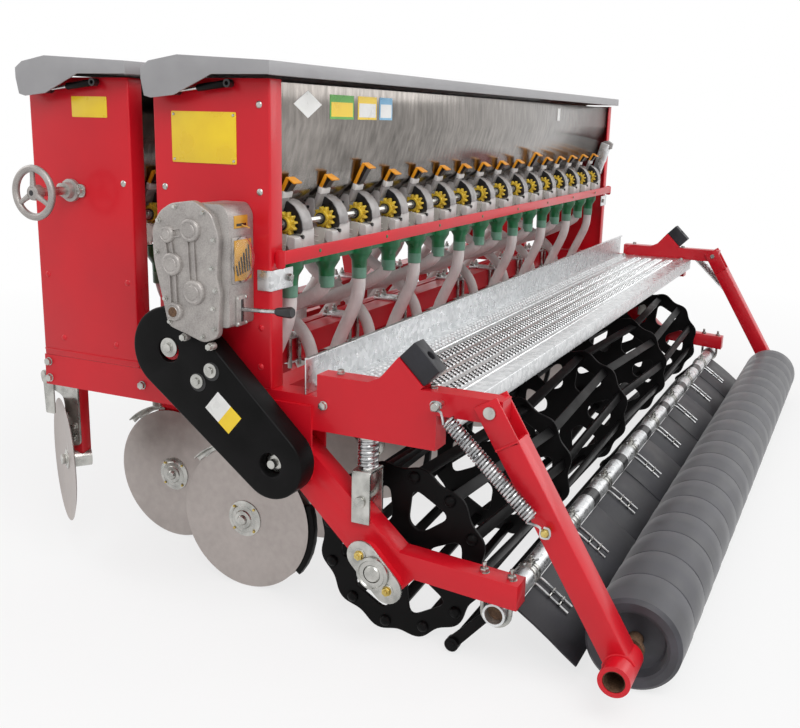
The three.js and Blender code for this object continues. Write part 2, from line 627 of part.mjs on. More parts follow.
// ---------------------------------------------------------------- metering units
function meter(row, y0) {
  const x = rowX(row);
  const top = TROUGH_BOTTOM - GAP;
  const rear = y0 + 14;
  const casing = [
    [rear, METER_SHAFT_Z - 30], [rear, METER_SHAFT_Z + 10], [rear + 16, top - 3],
    [y0 + TROUGH_REAR_FOOT, top], [y0 + TROUGH_FRONT_FOOT - 15, top],
    [y0 + TROUGH_FRONT_FOOT - 10, METER_SHAFT_Z], [y0 + TROUGH_FRONT_FOOT - 35, METER_FOOT + 25],
    [rear + 50, METER_FOOT], [rear + 16, METER_FOOT + 5],
  ];
  const lever = [
    [rear, METER_SHAFT_Z + 5], [rear + 14, METER_SHAFT_Z + 5], [rear + 16, TROUGH_BULGE_Z - 10],
    [rear + 8, LEVER_TOP], [rear - 2, LEVER_TOP], [rear, TROUGH_BULGE_Z - 15],
  ];
  return join(
    plate(casing, x - METER_WIDTH / 2, x + METER_WIDTH / 2),
    plate(lever, x - LEVER_WIDTH / 2, x + LEVER_WIDTH / 2));
}

function meterShaft(y0) {
  const half = HALF_WIDTH - PANEL_SHEET - GAP;
  return rodX(y0 + METER_SHAFT_Y, METER_SHAFT_Z, METER_SHAFT_RADIUS, -half, half, 6);
}
add('seed_meters', join(meterShaft(0), rows.map((row) => meter(row, 0))), 'clear_plastic');

function meterRail() {
  const top = RAIL_BOTTOM + RAIL_HEIGHT;
  const tabs = sides.map(([, side]) => box(side * (RAIL_HALF - 30), side * RAIL_HALF,
    RAIL_Y, -GAP, RAIL_BOTTOM, top - 4));
  return join(
    box(-RAIL_HALF, RAIL_HALF, RAIL_Y, RAIL_Y + PANEL_SHEET, RAIL_BOTTOM, top),
    box(-RAIL_HALF, RAIL_HALF, RAIL_Y, -GAP - 6, RAIL_BOTTOM, RAIL_BOTTOM + PANEL_SHEET), tabs);
}
add('meter_rail', meterRail(), 'red_enamel');

// ---------------------------------------------------------------- delivery tubes
function funnel(x, y, top) {
  const profile = [
    [0, FUNNEL_BOTTOM], [TUBE_RADIUS + 2, FUNNEL_BOTTOM], [FUNNEL_RADIUS, top - 20],
    [FUNNEL_RADIUS, top], [0, top],
  ];
  return turned(profile, new THREE.Vector3(x, y, 0), new THREE.Vector3(0, 0, 1), 6);
}

// A strip through every funnel holds a set of tubes together.
function tubeStrip(y) {
  return box(rowX(0), rowX(ROW_COUNT - 1), y - STRIP_SHEET / 2, y + STRIP_SHEET / 2,
    METER_FOOT - STRIP_DROP - STRIP_HEIGHT, METER_FOOT - STRIP_DROP);
}

function seedTube(row) {
  const foot = rankY(row) + SEED_SOCKET_Y;
  const start = FUNNEL_BOTTOM + 5;
  const end = socketTop + GAP;
  const y = FUNNEL_Y + 14;
  const near = [[y, start], [y + 8, start - 80], [foot - 4, end + 130], [foot, end + 50], [foot, end]];
  const far = [
    [y, start], [y + 30, start - 42], [y + 160, start - 105], [MIDDLE_CROSS_Y + 15, start - 145],
    [foot - 30, start - 220], [foot, end + 60], [foot, end],
  ];
  const points = rankY(row) === REAR_RANK_Y ? near : far;
  return hose(rowX(row), points, TUBE_RADIUS, points === near ? 4 : 7);
}

function fertiliserTube(row) {
  const foot = rankY(row) + FERTILISER_SOCKET_Y;
  const y = FRONT_BOX_Y + FUNNEL_Y + 14;
  const start = FUNNEL_BOTTOM + 5;
  const end = socketTop + GAP;
  const near = [[y, start], [y + 12, start - 70], [foot - 12, end + 150], [foot, end + 80], [foot, end]];
  const far = [
    [y, start], [y - 28, start - 65], [foot + 95, start - 120], [foot + 25, start - 180],
    [foot, end + 80], [foot, end],
  ];
  const points = rankY(row) === FRONT_RANK_Y ? near : far;
  return hose(rowX(row), points, TUBE_RADIUS, points === near ? 4 : 6);
}
const funnelY = FUNNEL_Y + 14;
add('seed_tubes', join(tubeStrip(funnelY),
  rows.map((row) => join(funnel(rowX(row), funnelY, METER_FOOT - GAP), seedTube(row)))),
'milky_plastic');
add('fertiliser_meters_and_tubes', join(meterShaft(FRONT_BOX_Y), rows.map((row) => join(
  meter(row, FRONT_BOX_Y), funnel(rowX(row), FRONT_BOX_Y + funnelY, METER_FOOT + 12),
  fertiliserTube(row)))), 'milky_plastic');

// ---------------------------------------------------------------- drive: gearbox, chain guard, handwheel
function gearbox() {
  const inner = HALF_WIDTH + GAP;
  const guardTop = GUARD_TOP_Z + GUARD_TOP_RADIUS + MOVING_CLEARANCE;
  const casting = [...CASTING_FOOT.map((y) => [y, guardTop]), ...CASTING_OUTLINE];
  const face = -GEARBOX_FACE;
  const [footX, kneeX, endX] = SPEED_LEVER_X.map((inboard) => face + inboard);
  const point = (x, [y, z]) => new THREE.Vector3(x, y, z);
  const lever = rod(point(footX, SPEED_LEVER[0]), point(kneeX, SPEED_LEVER[1]), SPEED_LEVER_RADIUS, 8);
  const knob = rod(point(kneeX, SPEED_KNOB[0]), point(endX, SPEED_KNOB[1]), SPEED_KNOB_RADIUS, 8);
  return join(
    plate(COVER_OUTLINE, face, face + GEARBOX_COVER),
    plate(casting, face + GEARBOX_COVER - 1, -inner),
    GEARBOX_BOSSES.map(([y, z, r]) => rodX(y, z, r, face - BOSS_HEIGHT, face + 2, 10)), lever, knob);
}
add('gearbox', gearbox(), 'cast_aluminium');

function stadium(y0, z0, r0, y1, z1, r1, steps = 8) {
  const heading = Math.atan2(z1 - z0, y1 - y0);
  const arc = (y, z, r, from) => Array.from({ length: steps + 1 }, (_, i) => {
    const angle = from + (Math.PI * i) / steps;
    return [y + r * Math.cos(angle), z + r * Math.sin(angle)];
  });
  return [...arc(y0, z0, r0, heading + Math.PI / 2), ...arc(y1, z1, r1, heading - Math.PI / 2)];
}

function chainGuard() {
  const outline = stadium(GUARD_TOP_Y, GUARD_TOP_Z, GUARD_TOP_RADIUS,
    ARM_PIVOT_Y, ARM_PIVOT_Z, GUARD_LOW_RADIUS);
  const shaftHole = hole(ARM_PIVOT_Y, ARM_PIVOT_Z, ARM_BOLT * 2, 10);
  const standoff = rodX(GUARD_TOP_Y, GUARD_TOP_Z, GUARD_STANDOFF, -HALF_WIDTH - GAP, -GUARD_INNER - 1, 8);
  return join(plate(outline, -GUARD_INNER, -GUARD_INNER - GUARD_DEPTH, [shaftHole]), standoff);
}
add('chain_guard', chainGuard(), 'black_enamel');

function handwheel() {
  const hub = new THREE.Vector3(-HANDWHEEL_X, HANDWHEEL_Y, HANDWHEEL_Z);
  const inward = new THREE.Vector3(1, 0, 0);
  const rim = ring(HANDWHEEL_RADIUS - HANDWHEEL_RIM, 0, HANDWHEEL_RIM, 6);
  const spokes = [0, 1, 2].map((i) => {
    const angle = radians(90 + 120 * i);
    const reach = HANDWHEEL_RADIUS - HANDWHEEL_RIM;
    const end = hub.clone().add(new THREE.Vector3(0, reach * Math.cos(angle), reach * Math.sin(angle)));
    return rod(hub, end, HANDWHEEL_SPOKE, 6);
  });
  const wall = -HALF_WIDTH - GAP;
  const shaft = rodX(
    HANDWHEEL_Y, HANDWHEEL_Z, HANDWHEEL_SHAFT, -HANDWHEEL_X - HANDWHEEL_RIM, wall, 8);
  const bearing = rodX(
    HANDWHEEL_Y, HANDWHEEL_Z, HANDWHEEL_BEARING, -HALF_WIDTH - HANDWHEEL_BEARING_DEPTH, wall, 10);
  return join(turned([...rim, rim[0]], hub, inward, 18), spokes, shaft, bearing);
}
add('handwheel', handwheel(), 'spring_steel');

// ---------------------------------------------------------------- walkway
function walkway() {
  const half = beamInner - GAP;
  const floor = FRAME_TOP + GAP;
  const top = floor + WALKWAY_SHEET;
  return join(
    box(-half, half, WALKWAY_REAR, WALKWAY_FRONT, floor, top),
    box(-half, half, WALKWAY_REAR, WALKWAY_REAR + WALKWAY_SHEET, top - WALKWAY_LIP, top),
    box(-HALF_WIDTH, HALF_WIDTH, WALKWAY_FRONT - WALKWAY_SHEET, WALKWAY_FRONT, floor, floor + TOE_BOARD));
}
add('walkway', walkway(), 'galvanised');

// ---------------------------------------------------------------- cage roller and its arms
function rollerArm(side) {
  const pivot = [ARM_PIVOT_Y, ARM_PIVOT_Z];
  const half = ARM_DEPTH / 2;
  const bendTop = REAR_ARM_TOP + REAR_ARM_SLOPE;
  const outline = [
    offset(pivot, armAlong, armAcross, -ARM_NOSE, -half),
    offset(pivot, armAlong, armAcross, -ARM_NOSE, half),
    [REAR_ARM_BEND, bendTop], [REAR_ARM_END, REAR_ARM_TOP],
    [REAR_ARM_END, REAR_ARM_TOP - REAR_ARM_DEPTH],
    [REAR_ARM_BEND - REAR_ARM_FOOT, bendTop - REAR_ARM_DEPTH],
    offset(pivot, armAlong, armAcross, armLength + ARM_HEEL, 5 - half),
  ];
  const flange = stadium(CAGE_Y + BEARING_REACH, cageZ + BEARING_REACH, BEARING_RADIUS,
    CAGE_Y - BEARING_REACH, cageZ - BEARING_REACH, BEARING_RADIUS, 4);
  const pivotHole = hole(pivot[0], pivot[1], ARM_BOLT + PIN_CLEARANCE, 12);
  const shaftHole = hole(CAGE_Y, cageZ, CAGE_STUB + PIN_CLEARANCE, 12);
  const arm = plate(outline, side * (HALF_WIDTH - GAP), side * (beamInner + GAP), [pivotHole, shaftHole]);
  const bearing = plate(flange, side * (HALF_WIDTH - GAP), side * (HALF_WIDTH + BEARING_DEPTH), [shaftHole]);
  return join(arm, bearing);
}

// Compression spring on a stirrup that straddles the sloping arm.
function downforceSpring(side) {
  const y = DOWNFORCE_Y;
  const seat = STIRRUP_SEAT;
  const half = STIRRUP_HALF;
  const coilTop = beamBottom - GAP;
  const straps = [
    [HALF_WIDTH + GAP, HALF_WIDTH + PLATE], [beamInner - PLATE, beamInner - GAP],
  ].map(([x0, x1]) => box(side * x0, side * x1, y - half, y + half, STIRRUP_BOTTOM, seat));
  const middle = (HALF_WIDTH + beamInner) / 2;
  return join(
    straps,
    box(side * (HALF_WIDTH + PLATE), side * (beamInner - PLATE), y - half, y + half, seat - PLATE, seat),
    rodX(y, STIRRUP_PIN_Z, STIRRUP_PIN, side * (HALF_WIDTH + PLATE + 8), side * (beamInner - PLATE - 8), 8),
    turned([[0, seat - 1], [COIL_RADIUS, seat - 1], [COIL_RADIUS, coilTop], [0, coilTop]],
      new THREE.Vector3(side * middle, y, 0), new THREE.Vector3(0, 0, 1), 10));
}

function cageRoller() {
  const parts = [];
  const lobe = Math.PI / CAGE_LOBES;
  const bottom = -Math.PI / 2;
  const outline = Array.from({ length: CAGE_LOBES * 2 }, (_, i) => {
    const angle = bottom + lobe * (i + 0.5 + (i % 2 === 0 ? CAGE_LOBE_SHARE : -CAGE_LOBE_SHARE));
    const reach = CAGE_RADIUS * Math.cos(lobe) / Math.cos(lobe * (0.5 + CAGE_LOBE_SHARE));
    return [CAGE_Y + reach * Math.cos(angle), cageZ + reach * Math.sin(angle)];
  });
  const holes = Array.from({ length: CAGE_HOLES }, (_, i) => {
    const angle = (2 * Math.PI * i) / CAGE_HOLES;
    return ring(CAGE_Y + CAGE_HOLE_CIRCLE * Math.cos(angle), cageZ + CAGE_HOLE_CIRCLE * Math.sin(angle),
      CAGE_HOLE_RADIUS, 6);
  });
  const discX = (i) => -CAGE_HALF + (2 * CAGE_HALF * i) / (CAGE_DISCS - 1);
  for (let i = 0; i < CAGE_DISCS; i += 1) {
    parts.push(plate(outline, discX(i) - CAGE_SHEET / 2, discX(i) + CAGE_SHEET / 2, holes));
  }
  const barCircle = CAGE_RADIUS - CAGE_NOTCH - CAGE_BAR_RADIUS - 2;
  for (let b = 0; b < CAGE_LOBES; b += 1) {
    const at = (i) => {
      const sway = radians(i % 2 === 0 ? -CAGE_BAR_SWAY / 2 : CAGE_BAR_SWAY / 2);
      const angle = lobe * (2 * b + 1) + sway;
      return new THREE.Vector3(
        discX(i), CAGE_Y + barCircle * Math.cos(angle), cageZ + barCircle * Math.sin(angle));
    };
    for (let i = 0; i + 1 < CAGE_DISCS; i += 1) {
      parts.push(rod(at(i), at(i + 1), CAGE_BAR_RADIUS, 4));
    }
  }
  for (const [, side] of sides) {
    parts.push(rodX(CAGE_Y, cageZ, CAGE_STUB, side * (CAGE_HALF - 30), side * CAGE_STUB_END, 12));
  }
  return join(parts);
}
add('cage_roller', cageRoller(), 'black_enamel');

// ---------------------------------------------------------------- press roller, its frame and its springs
const clevisOuter = HALF_WIDTH + PRESS_ARM_GAP + PRESS_ARM_SHEET;
const clevisInner = upperInner - PRESS_ARM_GAP - PRESS_ARM_SHEET;

function pressFrame() {
  const pivot = [PRESS_PIVOT_Y, PRESS_PIVOT_Z];
  const half = PRESS_ARM_DEPTH / 2;
  const at = (s, t) => offset(pivot, pressAlong, pressAcross, s, t);
  const strip = (start, end) => [at(start, half), at(start, -half), at(end, -half), at(end, half)];
  const cheek = strip(-CHEEK_NOSE, PRESS_CLEVIS + PRESS_ARM_SHEET);
  const beam = strip(PRESS_CLEVIS, pressReach);
  const pinAt = at(SPRING_ARM_REACH, 0);
  const parts = [rodX(PRESS_Y, PRESS_RADIUS, PRESS_AXLE, -PRESS_HOUSING_END, PRESS_HOUSING_END, 12)];
  for (const [, side] of sides) {
    parts.push(
      plate(cheek, side * clevisOuter, side * (clevisOuter - PRESS_ARM_SHEET)),
      plate(cheek, side * clevisInner, side * (clevisInner + PRESS_ARM_SHEET)),
      plate(beam, side * clevisOuter, side * clevisInner),
      rodX(pivot[0], pivot[1], PRESS_PIN, side * (clevisOuter + 5), side * (clevisInner - 5), 12),
      rodX(PRESS_Y, PRESS_RADIUS, PRESS_HOUSING, side * PRESS_HOUSING_END, side * clevisInner, 12),
      rodX(pinAt[0], pinAt[1], SPRING_PIN, side * (clevisOuter - 1), side * SPRING_X, 8));
  }
  return join(parts);
}
add('press_frame', pressFrame(), 'red_enamel');

function pressRoller() {
  const rim = PRESS_RADIUS / Math.cos(Math.PI / PRESS_SIDES);
  const bore = PRESS_AXLE + PIN_CLEARANCE;
  const profile = [
    [bore, -PRESS_HALF], [rim - PRESS_LIP, -PRESS_HALF], [rim, -PRESS_HALF + PRESS_TAPER],
    [rim, PRESS_HALF - PRESS_TAPER], [rim - PRESS_LIP, PRESS_HALF], [bore, PRESS_HALF], [bore, -PRESS_HALF],
  ];
  const middle = new THREE.Vector3(0, PRESS_Y, PRESS_RADIUS);
  return turned(profile, middle, new THREE.Vector3(1, 0, 0), PRESS_SIDES);
}
add('press_roller', pressRoller(), 'black_rubber');

function armSpring(side) {
  const pin = new THREE.Vector3(side * SPRING_X, SPRING_PIN_Y, SPRING_PIN_Z);
  const [y, z] = offset([PRESS_PIVOT_Y, PRESS_PIVOT_Z], pressAlong, pressAcross, SPRING_ARM_REACH, 0);
  const end = new THREE.Vector3(side * SPRING_X, y, z);
  const along = end.clone().sub(pin).normalize();
  return rod(
    pin.addScaledVector(along, SPRING_EYE), end.addScaledVector(along, -SPRING_EYE), SPRING_RADIUS, 8);
}

// Rubber block that the raised press arm leans on.
function rubberStop(side) {
  const run = [STOP_HEEL[0] - STOP_FOOT[0], STOP_HEEL[1] - STOP_FOOT[1]];
  const length = Math.hypot(...run);
  const along = [run[0] / length, run[1] / length];
  const out = [along[1], -along[0]];
  const outline = [
    offset(STOP_FOOT, along, out, 0, GAP), offset(STOP_FOOT, along, out, length, GAP),
    offset(STOP_FOOT, along, out, length, STOP_RISE), offset(STOP_FOOT, along, out, 0, STOP_RISE),
  ];
  const middle = (upperInner + upperOuter) / 2;
  return plate(outline, side * (middle - STOP_WIDTH / 2), side * (middle + STOP_WIDTH / 2));
}

// ---------------------------------------------------------------- soil curtain
const pipeZ = REAR_ARM_TOP - REAR_ARM_DEPTH - PIPE_RADIUS - GAP;

function curtainPipe() {
  const bore = PIPE_RADIUS - PIPE_WALL;
  const pipe = turned([
    [bore, -PIPE_HALF], [PIPE_RADIUS, -PIPE_HALF], [PIPE_RADIUS, PIPE_HALF], [bore, PIPE_HALF],
    [bore, -PIPE_HALF],
  ], new THREE.Vector3(0, PIPE_Y, pipeZ), new THREE.Vector3(1, 0, 0), 12);
  const link = [
    [PIPE_Y + bore / 2, pipeZ - PIPE_RADIUS + 2], [PIPE_Y + PIPE_RADIUS - 1, pipeZ - 8],
    [scraperY + 10, scraperZ + 6], [scraperY - 8, scraperZ - 6],
  ];
  const span = CAGE_HALF + SCRAPER_OVERLAP;
  const links = [-span, 0, span].map((x) => plate(link, x - PLATE / 2, x + PLATE / 2));
  return join(pipe, rodX(scraperY, scraperZ, SCRAPER_RADIUS, -span - 10, span + 10, 8), links);
}
add('curtain_pipe', curtainPipe(), 'galvanised');

function soilCurtain() {
  const run = [CURTAIN_END_Y - PIPE_Y, CURTAIN_END_Z - pipeZ];
  const length = Math.hypot(...run);
  const along = [run[0] / length, run[1] / length];
  const across = [along[1], -along[0]];
  const start = PIPE_RADIUS + GAP;
  const half = CURTAIN_SHEET / 2;
  const at = (s, t) => offset([PIPE_Y, pipeZ], along, across, s, t);
  const sheet = [at(start, half), at(start, -half), at(length, -half), at(length, half)];
  return plate(sheet, -CURTAIN_HALF, CURTAIN_HALF);
}
add('soil_curtain', soilCurtain(), 'black_rubber');

// ---------------------------------------------------------------- ridging discs at the front corners
function ridger(side) {
  const middle = new THREE.Vector3(side * RIDGER_X, RIDGER_Y, RIDGER_Z);
  const turn = radians(RIDGER_TURN);
  const inward = new THREE.Vector3(-side * Math.cos(turn), -Math.sin(turn), 0);
  const face = RIDGER_THICKNESS / 2;
  const hub = RIDGER_BARREL - PLATE;
  const along = (reach) => middle.clone().addScaledVector(inward, reach);
  const disc = turned([
    [0, -face], [RIDGER_RADIUS, -face], [RIDGER_RADIUS, face],
    [hub, face], [hub, RIDGER_HUB], [0, RIDGER_HUB],
  ], middle, inward, 20);
  const barrel = rod(along(RIDGER_BARREL_START), along(RIDGER_BARREL_END), RIDGER_BARREL, 10);
  const leg = along(RIDGER_LEG_REACH);
  const half = RIDGER_LEG / 2;
  const legTop = FRAME_TOP - CROSS_TUBE - GAP;
  const plateFoot = RIDGER_Z + RIDGER_PLATE_FOOT;
  const plateFront = leg.y + RIDGER_PLATE_FRONT;
  const overDisc = RIDGER_Z + RIDGER_RADIUS + MOVING_CLEARANCE;
  const x0 = leg.x + side * half;
  const bracket = join(barrel,
    box(leg.x - half, leg.x + half, leg.y - half, leg.y + half, RIDGER_Z, legTop),
    plate([
      [leg.y - half, legTop], [leg.y - half, plateFoot], [leg.y + half, plateFoot],
      [leg.y + half + RIDGER_HUB, overDisc], [plateFront, legTop - half], [plateFront, legTop],
    ], x0 - side, x0 + side * PLATE));
  return { disc, bracket };
}

for (const [hand, side] of sides) {
  add(`roller_arm_${hand}`, rollerArm(side), 'red_enamel');
  add(`downforce_spring_${hand}`, downforceSpring(side), 'galvanised');
  add(`arm_spring_${hand}`, armSpring(side), 'spring_steel');
  add(`rubber_stop_${hand}`, rubberStop(side), 'black_rubber');
  const { disc, bracket } = ridger(side);
  add(`ridger_disc_${hand}`, disc, 'disc_steel');
  add(`ridger_bracket_${hand}`, bracket, 'galvanised');
}

// The drill stands on the plane z = 0, with the middle of its length and width over the origin.
const extent = new THREE.Box3().setFromObject(drill);
const centre = extent.getCenter(new THREE.Vector3());
drill.position.set(-centre.x, -centre.y, -extent.min.z);

export default drill;
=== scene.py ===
"""Sixteen-row seed and fertiliser drill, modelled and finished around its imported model."""
import math
import random

import bmesh
import bpy
from mathutils import Matrix, Vector


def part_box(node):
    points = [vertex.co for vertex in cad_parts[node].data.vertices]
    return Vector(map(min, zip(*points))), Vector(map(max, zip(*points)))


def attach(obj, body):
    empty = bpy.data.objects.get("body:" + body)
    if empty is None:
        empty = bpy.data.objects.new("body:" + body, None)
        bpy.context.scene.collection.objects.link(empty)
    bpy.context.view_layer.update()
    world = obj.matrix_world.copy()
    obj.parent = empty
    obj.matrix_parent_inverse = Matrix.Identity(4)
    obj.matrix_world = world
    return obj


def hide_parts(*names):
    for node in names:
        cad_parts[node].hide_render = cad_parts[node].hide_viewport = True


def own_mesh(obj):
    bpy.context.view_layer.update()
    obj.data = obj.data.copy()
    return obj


bl_info = {
    "name": "Seed drill finish",
    "version": (1, 0, 0),
    "blender": (4, 5, 0),
    "location": "View3D > Sidebar > Drill",
    "description": "Models and finishes the pieces of a sixteen-row seed drill",
    "category": "Object",
}

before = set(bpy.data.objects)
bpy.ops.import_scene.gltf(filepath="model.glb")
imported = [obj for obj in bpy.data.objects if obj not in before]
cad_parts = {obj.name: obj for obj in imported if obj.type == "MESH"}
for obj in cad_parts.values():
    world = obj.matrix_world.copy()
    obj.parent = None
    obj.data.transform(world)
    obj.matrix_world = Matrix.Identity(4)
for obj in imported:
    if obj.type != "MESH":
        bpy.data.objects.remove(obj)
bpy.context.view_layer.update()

# Lengths below are millimetres, in the CAD's own places: x from the machine's middle plane,
# y from the rear face of the seed box's end panels, z from the ground.
PANEL_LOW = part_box("rear_end_panel_left")[0]
HOPPER_LOW, HOPPER_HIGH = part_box("rear_hopper")
DATUM = Vector(((HOPPER_LOW.x + HOPPER_HIGH.x) * 500, PANEL_LOW.y * 1000, 0))
TO_METRES = Matrix.Scale(0.001, 4) @ Matrix.Translation(DATUM)
HANDS = (("left", -1), ("right", 1))
HALF = 1300.0  # middle plane to the outer face of an end panel
ROWS = 16
PITCH = 156.0
FRAME_TOP = 516.0
FRONT_BOX_Y = 338.0
PANEL_TOP = 1120.0
BOXES = (("rear", 0.0, 276.0), ("front", FRONT_BOX_Y, 269.0))  # rear face and depth of each box
HINGE_IN = 12.0  # lid hinge, back from a box's front face
FACE = HALF + 0.4  # just proud of an end panel
REAR_RANK, FRONT_RANK = 150.0, 470.0  # disc axles of the two ranks
AXLE_Z = 165.0
ARM_PIVOT = (-45.0, 387.0)
CAGE = (-253.0, 186.42)
PRESS = (-740.0, 95.0)
PRESS_PIVOT = (-470.0, 539.0)
SPRING_PIN = (-372.0, 542.0)  # return spring's fixed end
SPRING_REACH = 235.0  # press arm's hinge to the spring's moving end
PIPE = (-490.0, 133.7)
CURTAIN_HALF = 1215.0
X, Y, Z = Vector((1, 0, 0)), Vector((0, 1, 0)), Vector((0, 0, 1))


def row_x(row):
    return (row - (ROWS - 1) / 2) * PITCH


def rank_y(row):
    """Rows alternate between the rear and the front rank, alike on both sides of the middle."""
    return REAR_RANK if min(row, ROWS - 1 - row) % 2 == 0 else FRONT_RANK


def mm_box(node):
    """Lowest and highest corner of a CAD node, in this script's millimetres."""
    low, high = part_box(node)
    return low * 1000 - DATUM, high * 1000 - DATUM


def place(y, z, x=0.0):
    return tuple(TO_METRES @ Vector((x, y, z)))


# ------------------------------------------------------------------ settings
class DrillSizes(bpy.types.PropertyGroup):
    louvres: bpy.props.IntProperty(
        name="Walkway louvres", description="Louvres in each line of the tread", default=118)
    press_rings: bpy.props.IntProperty(
        name="Press roller rings", description="Rubber rings along the press roller", default=20)
    curtain_flaps: bpy.props.IntProperty(
        name="Curtain flaps", description="Rubber flaps on the curtain pipe", default=8)
    edge: bpy.props.FloatProperty(name="Edge radius",
                                  description="Rounding of welded tube and plate edges, in mm",
                                  default=2.5)


class DrillColours(bpy.types.PropertyGroup):
    red: bpy.props.StringProperty(name="Red", description="Frame enamel, sRGB hex",
                                  default="#D21223")
    grey: bpy.props.StringProperty(name="Grey", description="Lid enamel, sRGB hex",
                                   default="#A3A2A4")
    orange: bpy.props.StringProperty(name="Orange", description="Metering slide, sRGB hex",
                                     default="#F0A11C")
    green: bpy.props.StringProperty(name="Green", description="Funnel, sRGB hex", default="#0E7443")


def linear(code):
    """sRGB hex to a linear colour."""
    channels = [int(code[i:i + 2], 16) / 255 for i in (1, 3, 5)]
    return [c / 12.92 if c <= 0.04045 else ((c + 0.055) / 1.055) ** 2.4 for c in channels] + [1.0]


# ------------------------------------------------------------------ materials
def add_node(tree, kind, sockets=None, **settings):
    """A node with its settings, its inputs set to values or linked to other nodes' outputs."""
    node = tree.nodes.new(kind)
    for name, value in settings.items():
        setattr(node, name, value)
    for name, value in (sockets or {}).items():
        socket = node.inputs[name]
        if isinstance(value, bpy.types.NodeSocket):
            tree.links.new(value, socket)
        else:
            socket.default_value = value
    return node


def set_stops(ramp, stops):
    """Colour stops from (position, hex or grey level)."""
    elements = ramp.color_ramp.elements
    while len(elements) < len(stops):
        elements.new(0.5)
    for element, (position, value) in zip(elements, stops):
        element.position = position
        element.color = linear(value) if isinstance(value, str) else (value, value, value, 1)
    return ramp.outputs["Color"]


def surface(name, dark, pale, rough, cloud_mm, grain_mm, depth_mm, way=(1, 1, 1), grain_share=0.0,
            **fixed):
    """A finish with clouds of shade and shine cloud_mm across, and a raised grain grain_mm across
    that way draws out along each axis; grain_share is how much of the shade follows the grain."""
    material = bpy.data.materials.new(name)
    material.use_nodes = True
    tree = material.node_tree
    tree.nodes.clear()
    at = add_node(tree, "ShaderNodeTexCoord").outputs["Object"]
    cloud = add_node(tree, "ShaderNodeTexNoise", {"Vector": at, "Scale": 1000 / cloud_mm,
                                                  "Detail": 5.0})
    drawn = add_node(tree, "ShaderNodeMapping", {
        "Vector": at, "Scale": [1000 / grain_mm / w for w in way]})
    grain = add_node(tree, "ShaderNodeTexNoise", {"Vector": drawn.outputs[0], "Scale": 1.0,
                                                  "Detail": 3.0})
    shade = add_node(tree, "ShaderNodeMix", {
        0: grain_share, 2: cloud.outputs["Fac"], 3: grain.outputs["Fac"]})
    tint = set_stops(add_node(tree, "ShaderNodeValToRGB", {"Fac": shade.outputs[0]}),
                     [(0.32, dark), (0.68, pale)])
    shine = set_stops(add_node(tree, "ShaderNodeValToRGB", {"Fac": cloud.outputs["Fac"]}),
                      [(0.3, rough * 0.8), (0.75, min(1.0, rough * 1.3))])
    relief = add_node(tree, "ShaderNodeBump", {
        "Height": grain.outputs["Fac"], "Distance": depth_mm / 1000, "Strength": 1.0})
    shader = add_node(tree, "ShaderNodeBsdfPrincipled", {
        "Base Color": tint, "Roughness": shine, "Normal": relief.outputs["Normal"],
        **{socket.replace("_", " "): value for socket, value in fixed.items()}})
    add_node(tree, "ShaderNodeOutputMaterial", {"Surface": shader.outputs[0]})
    return material


def spangle(name, dark, pale, rough, cell_mm):
    """Hot-dip zinc: crystals cell_mm across, each with its own shade and shine."""
    material = surface(name, dark, pale, rough, 60, 4, 0.02, Metallic=0.9)
    tree = material.node_tree
    shader = next(n for n in tree.nodes if n.type == "BSDF_PRINCIPLED")
    at = next(n for n in tree.nodes if n.type == "TEX_COORD").outputs["Object"]
    warp = add_node(tree, "ShaderNodeTexNoise", {"Vector": at, "Scale": 1000 / 25, "Detail": 3.0})
    spread = add_node(tree, "ShaderNodeMapping", {"Vector": at, "Scale": [1000 / cell_mm] * 3})
    bent = add_node(tree, "ShaderNodeVectorMath", {0: spread.outputs[0], 1: warp.outputs["Color"]},
                    operation="ADD")
    cell = add_node(tree, "ShaderNodeTexVoronoi", {"Vector": bent.outputs[0], "Scale": 1.0})
    split = add_node(tree, "ShaderNodeSeparateColor", {"Color": cell.outputs["Color"]})
    tint = set_stops(add_node(tree, "ShaderNodeValToRGB", {"Fac": split.outputs[0]}),
                     [(0, dark), (1, pale)])
    shine = set_stops(add_node(tree, "ShaderNodeValToRGB", {"Fac": split.outputs[1]}),
                      [(0, rough * 0.75), (1, rough * 1.3)])
    tree.links.new(tint, shader.inputs["Base Color"])
    tree.links.new(shine, shader.inputs["Roughness"])
    return material


FINISHES = {}


